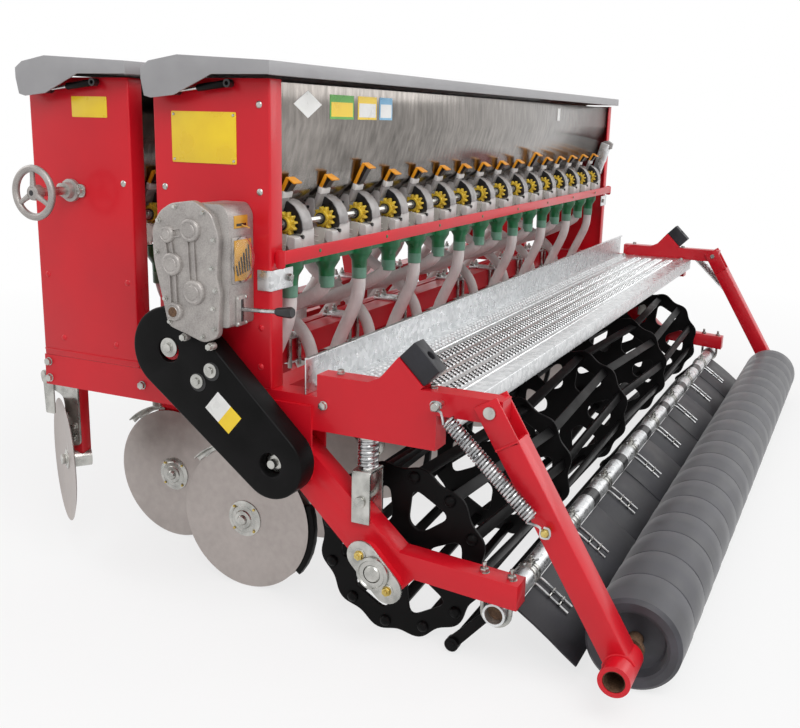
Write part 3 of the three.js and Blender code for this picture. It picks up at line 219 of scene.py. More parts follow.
def make_finishes():
    colours = bpy.context.scene.drill_colours
    # Sprayed two-pack enamel over steel: an even red, glossy, with slow drifts in the shine and a
    # fine orange peel, drawn at 7 mm so that it shows.
    FINISHES["red"] = surface("sprayed_red_enamel", "#C40E20", colours.red, 0.34, 240, 7, 0.012,
                              Specular_IOR_Level=0.35, Coat_Weight=0.12, Coat_Roughness=0.12)
    # Sprayed grey enamel on the lids: a satin that blurs what it reflects, a little dusty.
    FINISHES["grey"] = surface("sprayed_grey_enamel", "#939294", colours.grey, 0.42, 150, 6, 0.012,
                               Coat_Weight=0.15, Coat_Roughness=0.3)
    # Black stove enamel on the guard, the cage and the scraper rod: near black with a soft gloss.
    # The same near-black is also painted shade between each pair of discs.
    FINISHES["black"] = surface("stoved_black_enamel_and_painted_shade", "#080808", "#121112", 0.42, 70, 5, 0.03,
                                Specular_IOR_Level=0.1)
    # Cold-rolled stainless sheet, bright finish: a dim mirror, rippled about every 14 mm; half its
    # base colour follows the ripples, a painted reflection of them.
    FINISHES["stainless"] = surface("rolled_stainless_sheet", "#635F5B", "#9E9893", 0.2, 320, 14,
                                    0.5, way=(1, 1, 5), grain_share=0.5, Metallic=1.0)
    # Rolled disc blades: satin steel with fine wear lines, clouded grey by soil and storage.
    FINISHES["disc"] = surface("rolled_disc_steel", "#A29A96", "#B9B1AD", 0.45, 90, 1.6, 0.01,
                               way=(1, 10, 10), grain_share=0.3, Metallic=0.85)
    # Hot-dip galvanised sheet: bright zinc with crystals about 11 mm across.
    FINISHES["zinc"] = spangle("galvanised_sheet", "#CACCCD", "#E6E7E8", 0.33, 11)
    # Bright zinc plate on bolts, clamps and tubes: clean satin silver.
    FINISHES["plated"] = surface("zinc_plated_steel", "#9D9D99", "#CCCBC6", 0.28, 30, 3, 0.01,
                                 Metallic=0.95)
    # Yellow-passivated zinc on the bearing bolts: pale gold with iridescent clouding.
    FINISHES["gold"] = surface("yellow_passivated_steel", "#A98F43", "#DCC67C", 0.32, 14, 3, 0.01,
                               Metallic=0.95)
    # Drawn spring wire: bright lines round the wire's own length.
    FINISHES["spring"] = surface("drawn_spring_wire", "#8B8C8E", "#D8D8D8", 0.26, 25, 2, 0.01,
                                 Metallic=1.0)
    # Sand-cast aluminium on gearbox and handwheel: a pebbled matt skin, mottled pale and dark.
    FINISHES["cast"] = surface("sand_cast_aluminium", "#8E8986", "#B9B4B0", 0.45, 35, 2.4, 0.14,
                               grain_share=0.5, Metallic=0.6)
    # Bare steel rusted brown on the roller's axle ends: dry, mottled and pitted.
    FINISHES["rust"] = surface("rusted_steel", "#3A241A", "#86684F", 0.8, 16, 3, 0.3,
                               grain_share=0.5, Metallic=0.25)
    # Moulded natural rubber: charcoal, matt, with a faint bloom that lightens its edges.
    FINISHES["rubber"] = surface("moulded_black_rubber", "#2B2B30", "#46464C", 0.5, 60, 3, 0.06,
                                 Sheen_Weight=0.2, Sheen_Roughness=0.4)
    # Calendered rubber sheet: darker grey with long soft streaks from the rollers and some dust.
    FINISHES["curtain"] = surface("calendered_rubber_sheet", "#262629", "#35353A", 0.48, 90, 5,
                                  0.04, way=(5, 1, 1), grain_share=0.2, Specular_IOR_Level=0.25,
                                  Sheen_Weight=0.1, Sheen_Roughness=0.4)
    # Moulded black plastic on knobs and plugs: smooth with a soft shine. The same near-black is
    # also painted shade in the walkway's louvre mouths, beside the meter slides and inside the
    # meter hoods.
    FINISHES["knob"] = surface("black_phenolic_and_painted_shade", "#131314", "#202022", 0.3, 30, 4, 0.01)
    # Cast clear acrylic on the metering units: a milky glass that lets shapes through.
    FINISHES["clear"] = surface("clear_acrylic", "#DAD8D0", "#EDEBE4", 0.18, 50, 4, 0.01,
                                Transmission_Weight=0.55)
    # Clear dome over the gearbox scale: thin glass with a sharp highlight.
    FINISHES["glass"] = surface("thin_clear_dome", "#F0F0F0", "#FAFAFA", 0.05, 60, 8, 0.002,
                                Transmission_Weight=0.97, IOR=1.15)
    # Yellow-brown scale plates on the gearbox: lacquered brass, softly clouded.
    FINISHES["brass"] = surface("lacquered_brass_plate", "#B98526", "#D29E3C", 0.4, 30, 4, 0.01)
    # Smoked acrylic on the meter covers and levers: grey glass with a soft highlight.
    FINISHES["smoked"] = surface("smoked_acrylic", "#8F8B8A", "#B5B0AE", 0.2, 40, 4, 0.01,
                                 Transmission_Weight=0.25)
    # Green-tinted hose ends where the pale hose is pushed over the funnel's spout.
    FINISHES["tinted"] = surface("hose_over_green_spout", "#4F7F69", "#6F9A86", 0.4, 40, 4, 0.02)
    # Injection-moulded white plastic on the meter bodies: clean and slightly glossy.
    FINISHES["white"] = surface("white_polypropylene", "#BFBCBA", "#D6D3D0", 0.35, 50, 3, 0.02)
    # Extruded milky hose: pale, waxy, with dust in long streaks.
    FINISHES["hose"] = surface("milky_polyethylene", "#CDC5C4", "#E6DFDD", 0.42, 45, 4, 0.04,
                               way=(1, 1, 6), grain_share=0.3, Transmission_Weight=0.1)
    # Green polypropylene funnels: deep green, smooth and glossy.
    FINISHES["green"] = surface("green_polypropylene", "#07572F", colours.green, 0.32, 30, 3, 0.02)
    # Orange polypropylene slides on the meters: warm and slightly glossy.
    FINISHES["orange"] = surface("orange_polypropylene", "#DF8F14", colours.orange, 0.35, 20, 3,
                                 0.02)
    # Yellow nylon gears on the metering shaft: dull mustard with oil stain.
    FINISHES["gear"] = surface("yellow_nylon", "#A98923", "#E3C23A", 0.42, 12, 3, 0.03)
    # Printed foil plates, left blank: flat yellow and flat white with a thin clear film.
    FINISHES["yellow_foil"] = surface("yellow_vinyl_foil", "#EBC308", "#F3CF12", 0.3, 60, 8, 0.008,
                                      Coat_Weight=0.4, Coat_Roughness=0.15)
    FINISHES["white_foil"] = surface("white_vinyl_foil", "#DBDBD8", "#ECECEA", 0.3, 60, 8, 0.008,
                                     Coat_Weight=0.4, Coat_Roughness=0.15)
    # Green and blue vinyl foil patches on the seed box, left blank.
    FINISHES["green_foil"] = surface("green_vinyl_foil", "#4E9A3A", "#63B04C", 0.3, 60, 8, 0.008)
    FINISHES["blue_foil"] = surface("blue_vinyl_foil", "#5E9CC4", "#86BCDC", 0.3, 60, 8, 0.008)


# ------------------------------------------------------------------ modelling with bmesh
def bevel_edges(bm, width, segments=2, angle=50):
    """Rounds every edge sharper than the angle, in degrees."""
    limit = math.radians(angle)
    sharp = [e for e in bm.edges if len(e.link_faces) == 2 and e.calc_face_angle(0) > limit]
    if width > 0 and sharp:
        bmesh.ops.bevel(bm, geom=sharp, offset=width, offset_type="OFFSET", segments=segments,
                        profile=0.5, affect="EDGES", clamp_overlap=True, material=-1)
    return bm


def block(low, high, edge=0.0, segments=2):
    low, high = Vector(low), Vector(high)
    bm = bmesh.new()
    size = high - low
    bmesh.ops.create_cube(bm, size=1, matrix=Matrix.Translation((low + high) / 2)
                          @ Matrix.Diagonal((abs(size.x), abs(size.y), abs(size.z), 1)))
    return bevel_edges(bm, edge, segments)


def round_corners(outline, radius, steps=4, only=None):
    """The outline with its corners, or only those listed, turned into arcs."""
    result = []
    count = len(outline)
    for i, point in enumerate(outline):
        here = Vector(point)
        before = Vector(outline[i - 1]) - here
        after = Vector(outline[(i + 1) % count]) - here
        size = radius[i] if isinstance(radius, (list, tuple)) else radius
        if size <= 0 or (only is not None and i not in only):
            result.append(tuple(here))
            continue
        reach = min(size, before.length * 0.48, after.length * 0.48)
        a, b = here + before.normalized() * reach, here + after.normalized() * reach
        for s in range(steps + 1):
            t = s / steps
            result.append(tuple(a.lerp(here, t).lerp(here.lerp(b, t), t)))
    return result


def circle(centre, radius, steps=24, phase=0.0):
    return [(centre[0] + radius * math.cos(phase + 2 * math.pi * i / steps),
             centre[1] + radius * math.sin(phase + 2 * math.pi * i / steps)) for i in range(steps)]


def arc_points(centre, radius, start, end, steps=12):
    """Points on an arc, from one angle to another in degrees."""
    angles = [math.radians(start + (end - start) * i / steps) for i in range(steps + 1)]
    return [(centre[0] + radius * math.cos(a), centre[1] + radius * math.sin(a)) for a in angles]


def arc_band(centre, inner, outer, start, end, steps=12):
    """Outline of a curved strip between two radii."""
    return arc_points(centre, inner, start, end, steps) + arc_points(centre, outer, end, start,
                                                                     steps)


def slab(outline, axis, low, high, holes=(), edge=0.0, segments=2):
    """Plate with its outline across the axis 'x', 'y' or 'z', from low to high along it."""
    bm = bmesh.new()
    where = {"x": lambda u, v: (low, u, v), "y": lambda u, v: (u, low, v), "z": lambda u,
             v: (u, v, low)}[axis]
    rims = []
    for loop in (outline, *holes):
        verts = [bm.verts.new(where(*point)) for point in loop]
        rims += [bm.edges.new((verts[i - 1], verts[i])) for i in range(len(verts))]
    if holes:
        bmesh.ops.triangle_fill(bm, use_beauty=True, use_dissolve=False, edges=rims)
    else:
        bm.faces.new(verts)
    out = bmesh.ops.extrude_face_region(bm, geom=bm.faces[:])
    moved = [v for v in out["geom"] if isinstance(v, bmesh.types.BMVert)]
    step = {"x": X, "y": Y, "z": Z}[axis] * (high - low)
    bmesh.ops.translate(bm, verts=moved, vec=step)
    bmesh.ops.recalc_face_normals(bm, faces=bm.faces[:])
    return bevel_edges(bm, edge, segments)


def turn_to(direction):
    return Vector(direction).to_track_quat("Z", "Y").to_matrix().to_4x4()


def bar(start, end, radius, sides=20, edge=0.0, tip=None):
    """Round bar between two points; tip is its radius at the far end."""
    start, end = Vector(start), Vector(end)
    bm = bmesh.new()
    bmesh.ops.create_cone(bm, cap_ends=True, segments=sides, radius1=radius,
                          radius2=radius if tip is None else tip, depth=(end - start).length,
                          matrix=Matrix.Translation((start + end) / 2) @ turn_to(end - start))
    return bevel_edges(bm, edge)


def turned(profile, origin, axis, sides=32):
    """Turned piece from a list of (radius, distance along the axis); a closed list makes a ring."""
    bm = bmesh.new()
    verts = [bm.verts.new((radius, 0, along)) for radius, along in profile]
    edges = [bm.edges.new((verts[i], verts[i + 1])) for i in range(len(verts) - 1)]
    if profile[0][0] > 1e-6 and profile[-1][0] > 1e-6:
        edges.append(bm.edges.new((verts[-1], verts[0])))
    bmesh.ops.spin(bm, geom=verts + edges, cent=(0, 0, 0), axis=(0, 0, 1), angle=2 * math.pi,
                   steps=sides, use_merge=True)
    bmesh.ops.remove_doubles(bm, verts=bm.verts[:], dist=1e-4)
    bmesh.ops.recalc_face_normals(bm, faces=bm.faces[:])
    bmesh.ops.transform(bm, matrix=Matrix.Translation(Vector(origin)) @ turn_to(axis),
                        verts=bm.verts[:])
    return bm


def sweep(points, radius, sides=10):
    """Round tube along points, capped; radius may be a list, one for each point."""
    points = [Vector(p) for p in points]
    bm = bmesh.new()
    radii = radius if isinstance(radius, (list, tuple)) else [radius] * len(points)
    heading = (points[1] - points[0]).normalized()
    first = bmesh.ops.create_circle(bm, cap_ends=True, segments=sides, radius=1.0)["verts"]
    frame_turn = heading.to_track_quat("Z", "Y")
    bmesh.ops.transform(bm, matrix=Matrix.Translation(points[0]) @ frame_turn.to_matrix().to_4x4()
                        @ Matrix.Scale(radii[0], 4), verts=first)
    face = bm.faces[:]
    for i in range(1, len(points)):
        ahead = points[min(i + 1, len(points) - 1)] - points[i]
        if ahead.length < 1e-6:
            ahead = points[i] - points[i - 1]
        tangent = ((points[i] - points[i - 1]).normalized() + ahead.normalized()).normalized()
        out = bmesh.ops.extrude_face_region(bm, geom=face)
        verts = [v for v in out["geom"] if isinstance(v, bmesh.types.BMVert)]
        swing = heading.rotation_difference(tangent)
        centre = points[i - 1]
        lie = Matrix.Translation(points[i]) @ swing.to_matrix().to_4x4()
        grow = Matrix.Scale(radii[i] / radii[i - 1], 4) @ Matrix.Translation(-centre)
        bmesh.ops.transform(bm, matrix=lie @ grow, verts=verts)
        grown = [f for f in out["geom"] if isinstance(f, bmesh.types.BMFace)]
        if i > 1:
            bmesh.ops.delete(bm, geom=[f for f in face if f.is_valid], context="FACES_ONLY")
        face = grown
        heading = tangent
    bmesh.ops.recalc_face_normals(bm, faces=bm.faces[:])
    return bm


def smooth_line(points, steps=6):
    """Points on a Catmull-Rom curve through the given ones."""
    points = [Vector(p) for p in points]
    ends = [points[0] * 2 - points[1]] + points + [points[-1] * 2 - points[-2]]
    line = []
    for i in range(1, len(ends) - 2):
        a, b, c, d = ends[i - 1:i + 3]
        for s in range(steps):
            t = s / steps
            line.append(0.5 * (2 * b + (c - a) * t + (2 * a - 5 * b + 4 * c - d) * t * t
                               + (3 * b - a - 3 * c + d) * t ** 3))
    return line + [points[-1]]


def coil(start, end, radius, wire, turns, per_turn=14, sides=7):
    """Helical spring between two points."""
    start, end = Vector(start), Vector(end)
    turn = turn_to(end - start)
    length = (end - start).length
    points = []
    for i in range(int(turns * per_turn) + 1):
        angle = 2 * math.pi * i / per_turn
        local = Vector((radius * math.cos(angle), radius * math.sin(angle),
                        length * i / (turns * per_turn)))
        points.append(start + turn.to_3x3() @ local)
    return sweep(points, wire, sides)


def cad_copy(node, edge, segments=2, angle=35):
    """The CAD node's own shape, its doubles merged, its flats made whole, its edges rounded."""
    bm = bmesh.new()
    bm.from_mesh(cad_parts[node].data)
    bmesh.ops.remove_doubles(bm, verts=bm.verts[:], dist=1e-6)
    bmesh.ops.transform(bm, matrix=TO_METRES.inverted(), verts=bm.verts[:])
    bmesh.ops.dissolve_limit(bm, angle_limit=math.radians(1), verts=bm.verts[:], edges=bm.edges[:])
    return bevel_edges(bm, edge, segments, angle)


class Piece:
    """Gathers modelled shapes, each with its finish, into one object in the machine's place."""

    def __init__(self):
        self.bm = bmesh.new()
        self.finishes = []

    def add(self, bm, finish, place=None, keep=False):
        if finish not in self.finishes:
            self.finishes.append(finish)
        index = self.finishes.index(finish)
        for face in bm.faces:
            face.material_index = index
        mesh = bpy.data.meshes.new("scratch")
        bm.to_mesh(mesh)
        if place is not None:
            mesh.transform(place)
        self.bm.from_mesh(mesh)
        bpy.data.meshes.remove(mesh)
        if not keep:
            bm.free()

    def close(self, name, body, slot, replaces=(), sharp=38):
        mesh = bpy.data.meshes.new(name)
        bmesh.ops.transform(self.bm, matrix=TO_METRES, verts=self.bm.verts[:])
        limit = math.radians(sharp)
        for face in self.bm.faces:
            face.smooth = True
        for edge in self.bm.edges:
            edge.smooth = len(edge.link_faces) == 2 and edge.calc_face_angle(0) < limit
        self.bm.to_mesh(mesh)
        self.bm.free()
        for finish in self.finishes:
            mesh.materials.append(FINISHES[finish])
        piece = bpy.data.objects.new(name, mesh)
        bpy.context.scene.collection.objects.link(piece)
        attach(piece, body)
        if replaces:
            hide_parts(*replaces)
        return piece


def bolt_on(piece, at, axis, across=17.0, head=9.0, finish="plated", washer=None, shank=0.0):
    """Hexagon head on a washer; its seat is at 'at' and it stands out along the axis."""
    at, axis = Vector(at), Vector(axis).normalized()
    washer = across * 1.25 if washer is None else washer
    crown = at + axis * (2 + head)
    piece.add(bar(at, at + axis * 2, washer / 2, 20, 0.4), finish)
    piece.add(bar(at + axis * 2, crown, across / 2 / math.cos(math.pi / 6), 6, 0.8), finish)
    if shank:
        piece.add(bar(crown, at + axis * (2 + head + shank), across * 0.28, 12, 0.6), finish)


# ------------------------------------------------------------------ stage
def seen_directly(tree):
    """1 for rays from the camera, and for those that glass or gloss sends on."""
    path = add_node(tree, "ShaderNodeLightPath").outputs
    mirrored = add_node(tree, "ShaderNodeMath", {
        0: path["Is Glossy Ray"], 1: path["Is Transmission Ray"]}, operation="MAXIMUM")
    return add_node(tree, "ShaderNodeMath", {
        0: path["Is Camera Ray"], 1: mirrored.outputs[0]}, operation="MAXIMUM").outputs[0]


class DRILL_OT_stage(bpy.types.Operator):
    """Pale floor, soft studio light and the camera"""
    bl_idname = "drill.stage"
    bl_label = "Stage"

    def execute(self, context):
        make_finishes()
        self.floor()
        self.world(context)
        self.lamps(context)
        self.camera(context)
        context.scene.view_settings.view_transform = "Standard"
        return {"FINISHED"}

    def floor(self):
        bm = bmesh.new()
        bmesh.ops.create_grid(bm, x_segments=1, y_segments=1, size=30)
        mesh = bpy.data.meshes.new("floor")
        bm.to_mesh(mesh)
        bm.free()
        # Matt painted floor: pale round the drill, where its shadow falls, and white farther off.
        material = bpy.data.materials.new("matt_floor_paint")
        material.use_nodes = True
        tree = material.node_tree
        tree.nodes.clear()
        paint = add_node(tree, "ShaderNodeBsdfDiffuse", {"Color": linear("#E2E2E2")})
        white = add_node(tree, "ShaderNodeEmission", {"Color": (1, 1, 1, 1), "Strength": 1.0})
        at = add_node(tree, "ShaderNodeTexCoord").outputs["Object"]
        away = add_node(tree, "ShaderNodeVectorMath", {0: at}, operation="LENGTH").outputs["Value"]
        share = add_node(tree, "ShaderNodeMapRange", {
            "Value": away, "From Min": 1.6, "From Max": 4.0, "To Min": 0.75, "To Max": 1.0})
        seen = add_node(tree, "ShaderNodeMath", {
            0: share.outputs[0], 1: seen_directly(tree)}, operation="MULTIPLY")
        floor_mix = add_node(tree, "ShaderNodeMixShader", {
            0: seen.outputs[0], 1: paint.outputs[0], 2: white.outputs[0]})
        add_node(tree, "ShaderNodeOutputMaterial", {"Surface": floor_mix.outputs[0]})
        mesh.materials.append(material)
        floor = bpy.data.objects.new("floor", mesh)
        floor.location.z = -0.0005
        bpy.context.scene.collection.objects.link(floor)

    def world(self, context):
        world = bpy.data.worlds.new("studio")
        context.scene.world = world
        world.use_nodes = True
        tree = world.node_tree
        tree.nodes.clear()
        at = add_node(tree, "ShaderNodeTexCoord").outputs["Generated"]
        height = add_node(tree, "ShaderNodeSeparateXYZ", {"Vector": at}).outputs["Z"]
        sky = set_stops(add_node(tree, "ShaderNodeValToRGB", {"Fac": height}),
                        [(0.0, 0.55), (0.12, 0.62), (0.55, 0.95)])
        light = add_node(tree, "ShaderNodeBackground", {"Color": sky, "Strength": 0.72})
        white = add_node(tree, "ShaderNodeBackground", {"Color": (1, 1, 1, 1), "Strength": 1.0})
        mix = add_node(tree, "ShaderNodeMixShader", {
            0: seen_directly(tree), 1: light.outputs[0], 2: white.outputs[0]})
        add_node(tree, "ShaderNodeOutputWorld", {"Surface": mix.outputs[0]})

    def lamps(self, context):
        middle = Vector((0, 0, 0.5))
        for name, at, size, power in (("key", (-3.4, -2.6, 4.6), 3.2, 150),
                                      ("fill", (3.6, -3.8, 3.4), 3.5, 70),
                                      ("front", (-1.5, 4.6, 3.4), 3.0, 60)):
            lamp = bpy.data.lights.new(name, "AREA")
            lamp.size = size
            lamp.energy = power
            holder = bpy.data.objects.new(name, lamp)
            holder.location = at
            holder.rotation_euler = (middle - Vector(at)).to_track_quat("-Z", "Y").to_euler()
            context.scene.collection.objects.link(holder)

    def camera(self, context):
        heading, pitch, roll = (math.radians(d) for d in (25.35, 13.84, 1.36))
        ahead = Vector((math.cos(heading) * math.cos(pitch), math.sin(heading) * math.cos(pitch),
                        -math.sin(pitch)))
        right = Vector((math.sin(heading), -math.cos(heading), 0))
        up = right.cross(ahead)
        turned_right = right * math.cos(roll) + up * math.sin(roll)
        turned_up = up * math.cos(roll) - right * math.sin(roll)
        camera = bpy.data.objects.new("camera", bpy.data.cameras.new("camera"))
        camera.data.lens = 44.79
        camera.data.sensor_width = 36
        spot = TO_METRES @ Vector((-2938.6, -1060.9, 1052.04))
        camera.matrix_world = Matrix.Translation(spot) @ Matrix(
            (turned_right, turned_up, -ahead)).transposed().to_4x4()
        context.scene.collection.objects.link(camera)
        context.scene.camera = camera


# ------------------------------------------------------------------ frame
class DRILL_OT_frame(bpy.types.Operator):
    """Side beams, upper tubes with their gussets, hangers, cross tubes and bolts"""
    bl_idname = "drill.frame"
    bl_label = "Frame"

    def execute(self, context):
        edge = context.scene.drill_sizes.edge
        frame_piece = Piece()
        frame_piece.add(cad_copy("main_frame", edge), "red")
        for _, side in HANDS:
            outer = side * HALF
            for y, z in ((595, 500), (595, 462), (330, 480), (225, 480), (160, 480), (-120, 500)):
                bolt_on(frame_piece, (outer, y, z), X * side, 15, 7)
            for y, rise in ((-345, 45), (-145, 47)):
                bolt_on(frame_piece, (side * (HALF - 25), y, FRAME_TOP + rise), Z, 13, 6)
            bolt_on(frame_piece, (side * (HALF + 6), *ARM_PIVOT), X * side, 24, 12)
        frame_piece.close("frame_weldment", "frame", "red_enamel", ("main_frame",))
        return {"FINISHED"}


class DRILL_OT_panels(bpy.types.Operator):
    """Folded end panels of both boxes, their screws and their blank yellow plates"""
    bl_idname = "drill.panels"
    bl_label = "End panels"

    def execute(self, context):
        for name, y0, depth in BOXES:
            for hand, side in HANDS:
                self.panel(name, hand, side, y0, depth)
        return {"FINISHED"}

    def panel(self, name, hand, side, y0, depth):
        panel = Piece()
        sheet, flange, bottom = 4.0, 42.0, FRAME_TOP + 0.5
        u_section = [(HALF, y0), (HALF, y0 + depth), (HALF - flange, y0 + depth),
                     (HALF - flange, y0 + depth - sheet), (HALF - sheet, y0 + depth - sheet),
                     (HALF - sheet, y0 + sheet), (HALF - flange, y0 + sheet), (HALF - flange, y0)]
        folded = round_corners([(side * x, y) for x, y in u_section], 5, 4, only=(0, 1))
        panel.add(slab(folded, "z", bottom, PANEL_TOP, edge=0.6), "red")
        stud_y, stud_z = y0 + depth - HINGE_IN - 180, 1110.0
        panel.add(bar((side * (HALF - 1), stud_y, stud_z), (side * (HALF + 5), stud_y, stud_z), 4,
                      12), "plated")
        outer = side * HALF
        if name == "rear":
            spots = [(24, 1072), (24, 908), (252, 908), (252, 744), (26, 560), (252, 560),
                     (24, 640)]
        else:
            spots = [(y0 + 22, 908), (y0 + 22, 700), (y0 + depth - 24, 700), (y0 + 60, 560),
                     (y0 + depth - 60, 560)]
            panel.add(block((outer - side, y0 + 2, FRAME_TOP + 12),
                            (outer + side * 1.2, y0 + depth - 2, FRAME_TOP + 15), 0.5), "red")
        for y, z in spots:
            panel.add(turned([(0, 3.2), (3.5, 2.8), (6.5, 0.8), (7, 0)], (outer, y, z), X * side,
                             16), "plated" if z > 700 else "red")
        if name == "rear":
            plate_face = slab(round_corners([(76, 958), (230, 958), (230, 1057), (76, 1057)], 3, 3),
                              "x", outer, outer + side * 1.2, edge=0.3)
            panel.add(plate_face, "yellow_foil")
            for y, z in ((82, 964), (224, 964), (82, 1051), (224, 1051)):
                panel.add(turned([(0, 2.4), (2.2, 1.8), (3, 0)], (outer + side * 1.1, y, z),
                                 X * side, 12), "plated")
        else:
            foil = slab(round_corners([(y0 + 56, 1040), (y0 + 150, 1040), (y0 + 150, 1082),
                                       (y0 + 56, 1082)], 2, 2), "x", outer, outer + side * 0.8,
                        edge=0.2)
            panel.add(foil, "yellow_foil")
        panel.close(f"{name}_panel_sheet_{hand}", "frame", "red_enamel",
                    (f"{name}_end_panel_{hand}",))


class DRILL_OT_boxes(bpy.types.Operator):
    """Stainless seed and fertiliser troughs with their foil patches, and the hinged grey lids"""
    bl_idname = "drill.boxes"
    bl_label = "Boxes and lids"

    def execute(self, context):
        for name, y0, depth in BOXES:
            trough = Piece()
            trough.add(cad_copy(f"{name}_hopper", 1.2), "stainless")
            if name == "rear":
                self.patches(trough)
            trough.close(f"{name}_trough", "frame", "stainless", (f"{name}_hopper",))
            self.lid(name, y0, depth)
        return {"FINISHED"}

    def patches(self, trough):
        """Blank foil patches on the rear wall."""
        wall = 6.0
        diamond = [(-1205, 1076), (-1150, 1103), (-1095, 1076), (-1150, 1049)]
        trough.add(slab(diamond, "y", wall - 0.8, wall + 0.2), "white_foil")
        for x, wide, finish, inner in ((-1060, 105, "green_foil", "yellow_foil"),
                                       (-935, 90, "yellow_foil", "white_foil"),
                                       (-830, 66, "blue_foil", "white_foil")):
            trough.add(slab([(x, 1048), (x + wide, 1048), (x + wide, 1098), (x, 1098)], "y",
                            wall - 0.8, wall + 0.2), finish)
            inset = [(x + 5, 1053), (x + wide - 5, 1053), (x + wide - 5, 1083), (x + 5, 1083)]
            trough.add(slab(inset, "y", wall - 1.1, wall - 0.6), inner)
        trough.add(block((560, wall - 0.8, 1058), (590, wall + 0.2, 1100), 0.0), "white_foil")

    def lid(self, name, y0, depth):
        node = f"{name}_lid"
        lid = Piece()
        lid.add(cad_copy(node, 2.2, 3, 25), "grey")
        rear = y0 - 20
        low, high = mm_box(node)
        lid.add(bar((low.x + 2, rear + 2.2, 1127), (high.x - 2, rear + 2.2, 1127), 2.2, 10), "grey")
        for x in (-820, 0, 820):
            handle = [(x - 55, rear + 2, 1141), (x - 50, rear + 2.2, 1133),
                      (x + 50, rear + 2.2, 1133), (x + 55, rear + 2, 1141)]
            lid.add(sweep(smooth_line(handle, 4), 2.0, 8), "grey")
        pivot_y = y0 + depth - HINGE_IN
        for _, side in HANDS:
            bolt_on(lid, (side * (HALF + 26), pivot_y, 1095), X * side, 10, 2.6, washer=14)
        lid.close(f"{name}_lid_sheet", node, "grey_enamel", (node,))
        for hand, side in HANDS:
            self.strut(name, hand, side, pivot_y)

    def strut(self, name, hand, side, pivot_y):
        x = side * 1312
        seat, eye = Vector((x, pivot_y - 180, 1110)), Vector((x, pivot_y - 58, 1095))
        along = (eye - seat).normalized()
        barrel = Piece()
        barrel.add(turned([(4.2, 22), (4.2, 72), (6.4, 72), (7, 70.5), (7, 12), (5, 8), (0.01, 8),
                           (0.01, 22)], seat, along, 24), "black")
        barrel.add(turned([(4.2, -7), (8, -7), (8, 7), (4.2, 7)], seat, X, 24), "knob")
        barrel.close(f"{name}_gas_strut_{hand}", f"{name}_strut_barrel_{hand}", "black_enamel",
                     (f"{name}_strut_barrel_{hand}",))
        rod = Piece()
        rod.add(bar(seat + along * 25, eye - along * 6, 3.4, 16), "spring")
        rod.add(turned([(4.2, -7), (8, -7), (8, 7), (4.2, 7)], eye, X, 24), "knob")
        rod.close(f"{name}_gas_strut_rod_{hand}", f"{name}_strut_rod_{hand}", "spring_steel",
                  (f"{name}_strut_rod_{hand}",))


# ------------------------------------------------------------------ metering units
METER_SHAFT = (32.0, 838.0)


def gear_outline(centre, root, tip, teeth):
    points = []
    for i in range(teeth * 4):
        angle = 2 * math.pi * (i + 0.5) / (teeth * 4)
        reach = tip if i % 4 < 2 else root
        points.append((centre[0] + reach * math.cos(angle), centre[1] + reach * math.sin(angle)))
    return points


def by_shaft(points):
    """Points given from the metering shaft."""
    return [(METER_SHAFT[0] + y, METER_SHAFT[1] + z) for y, z in points]


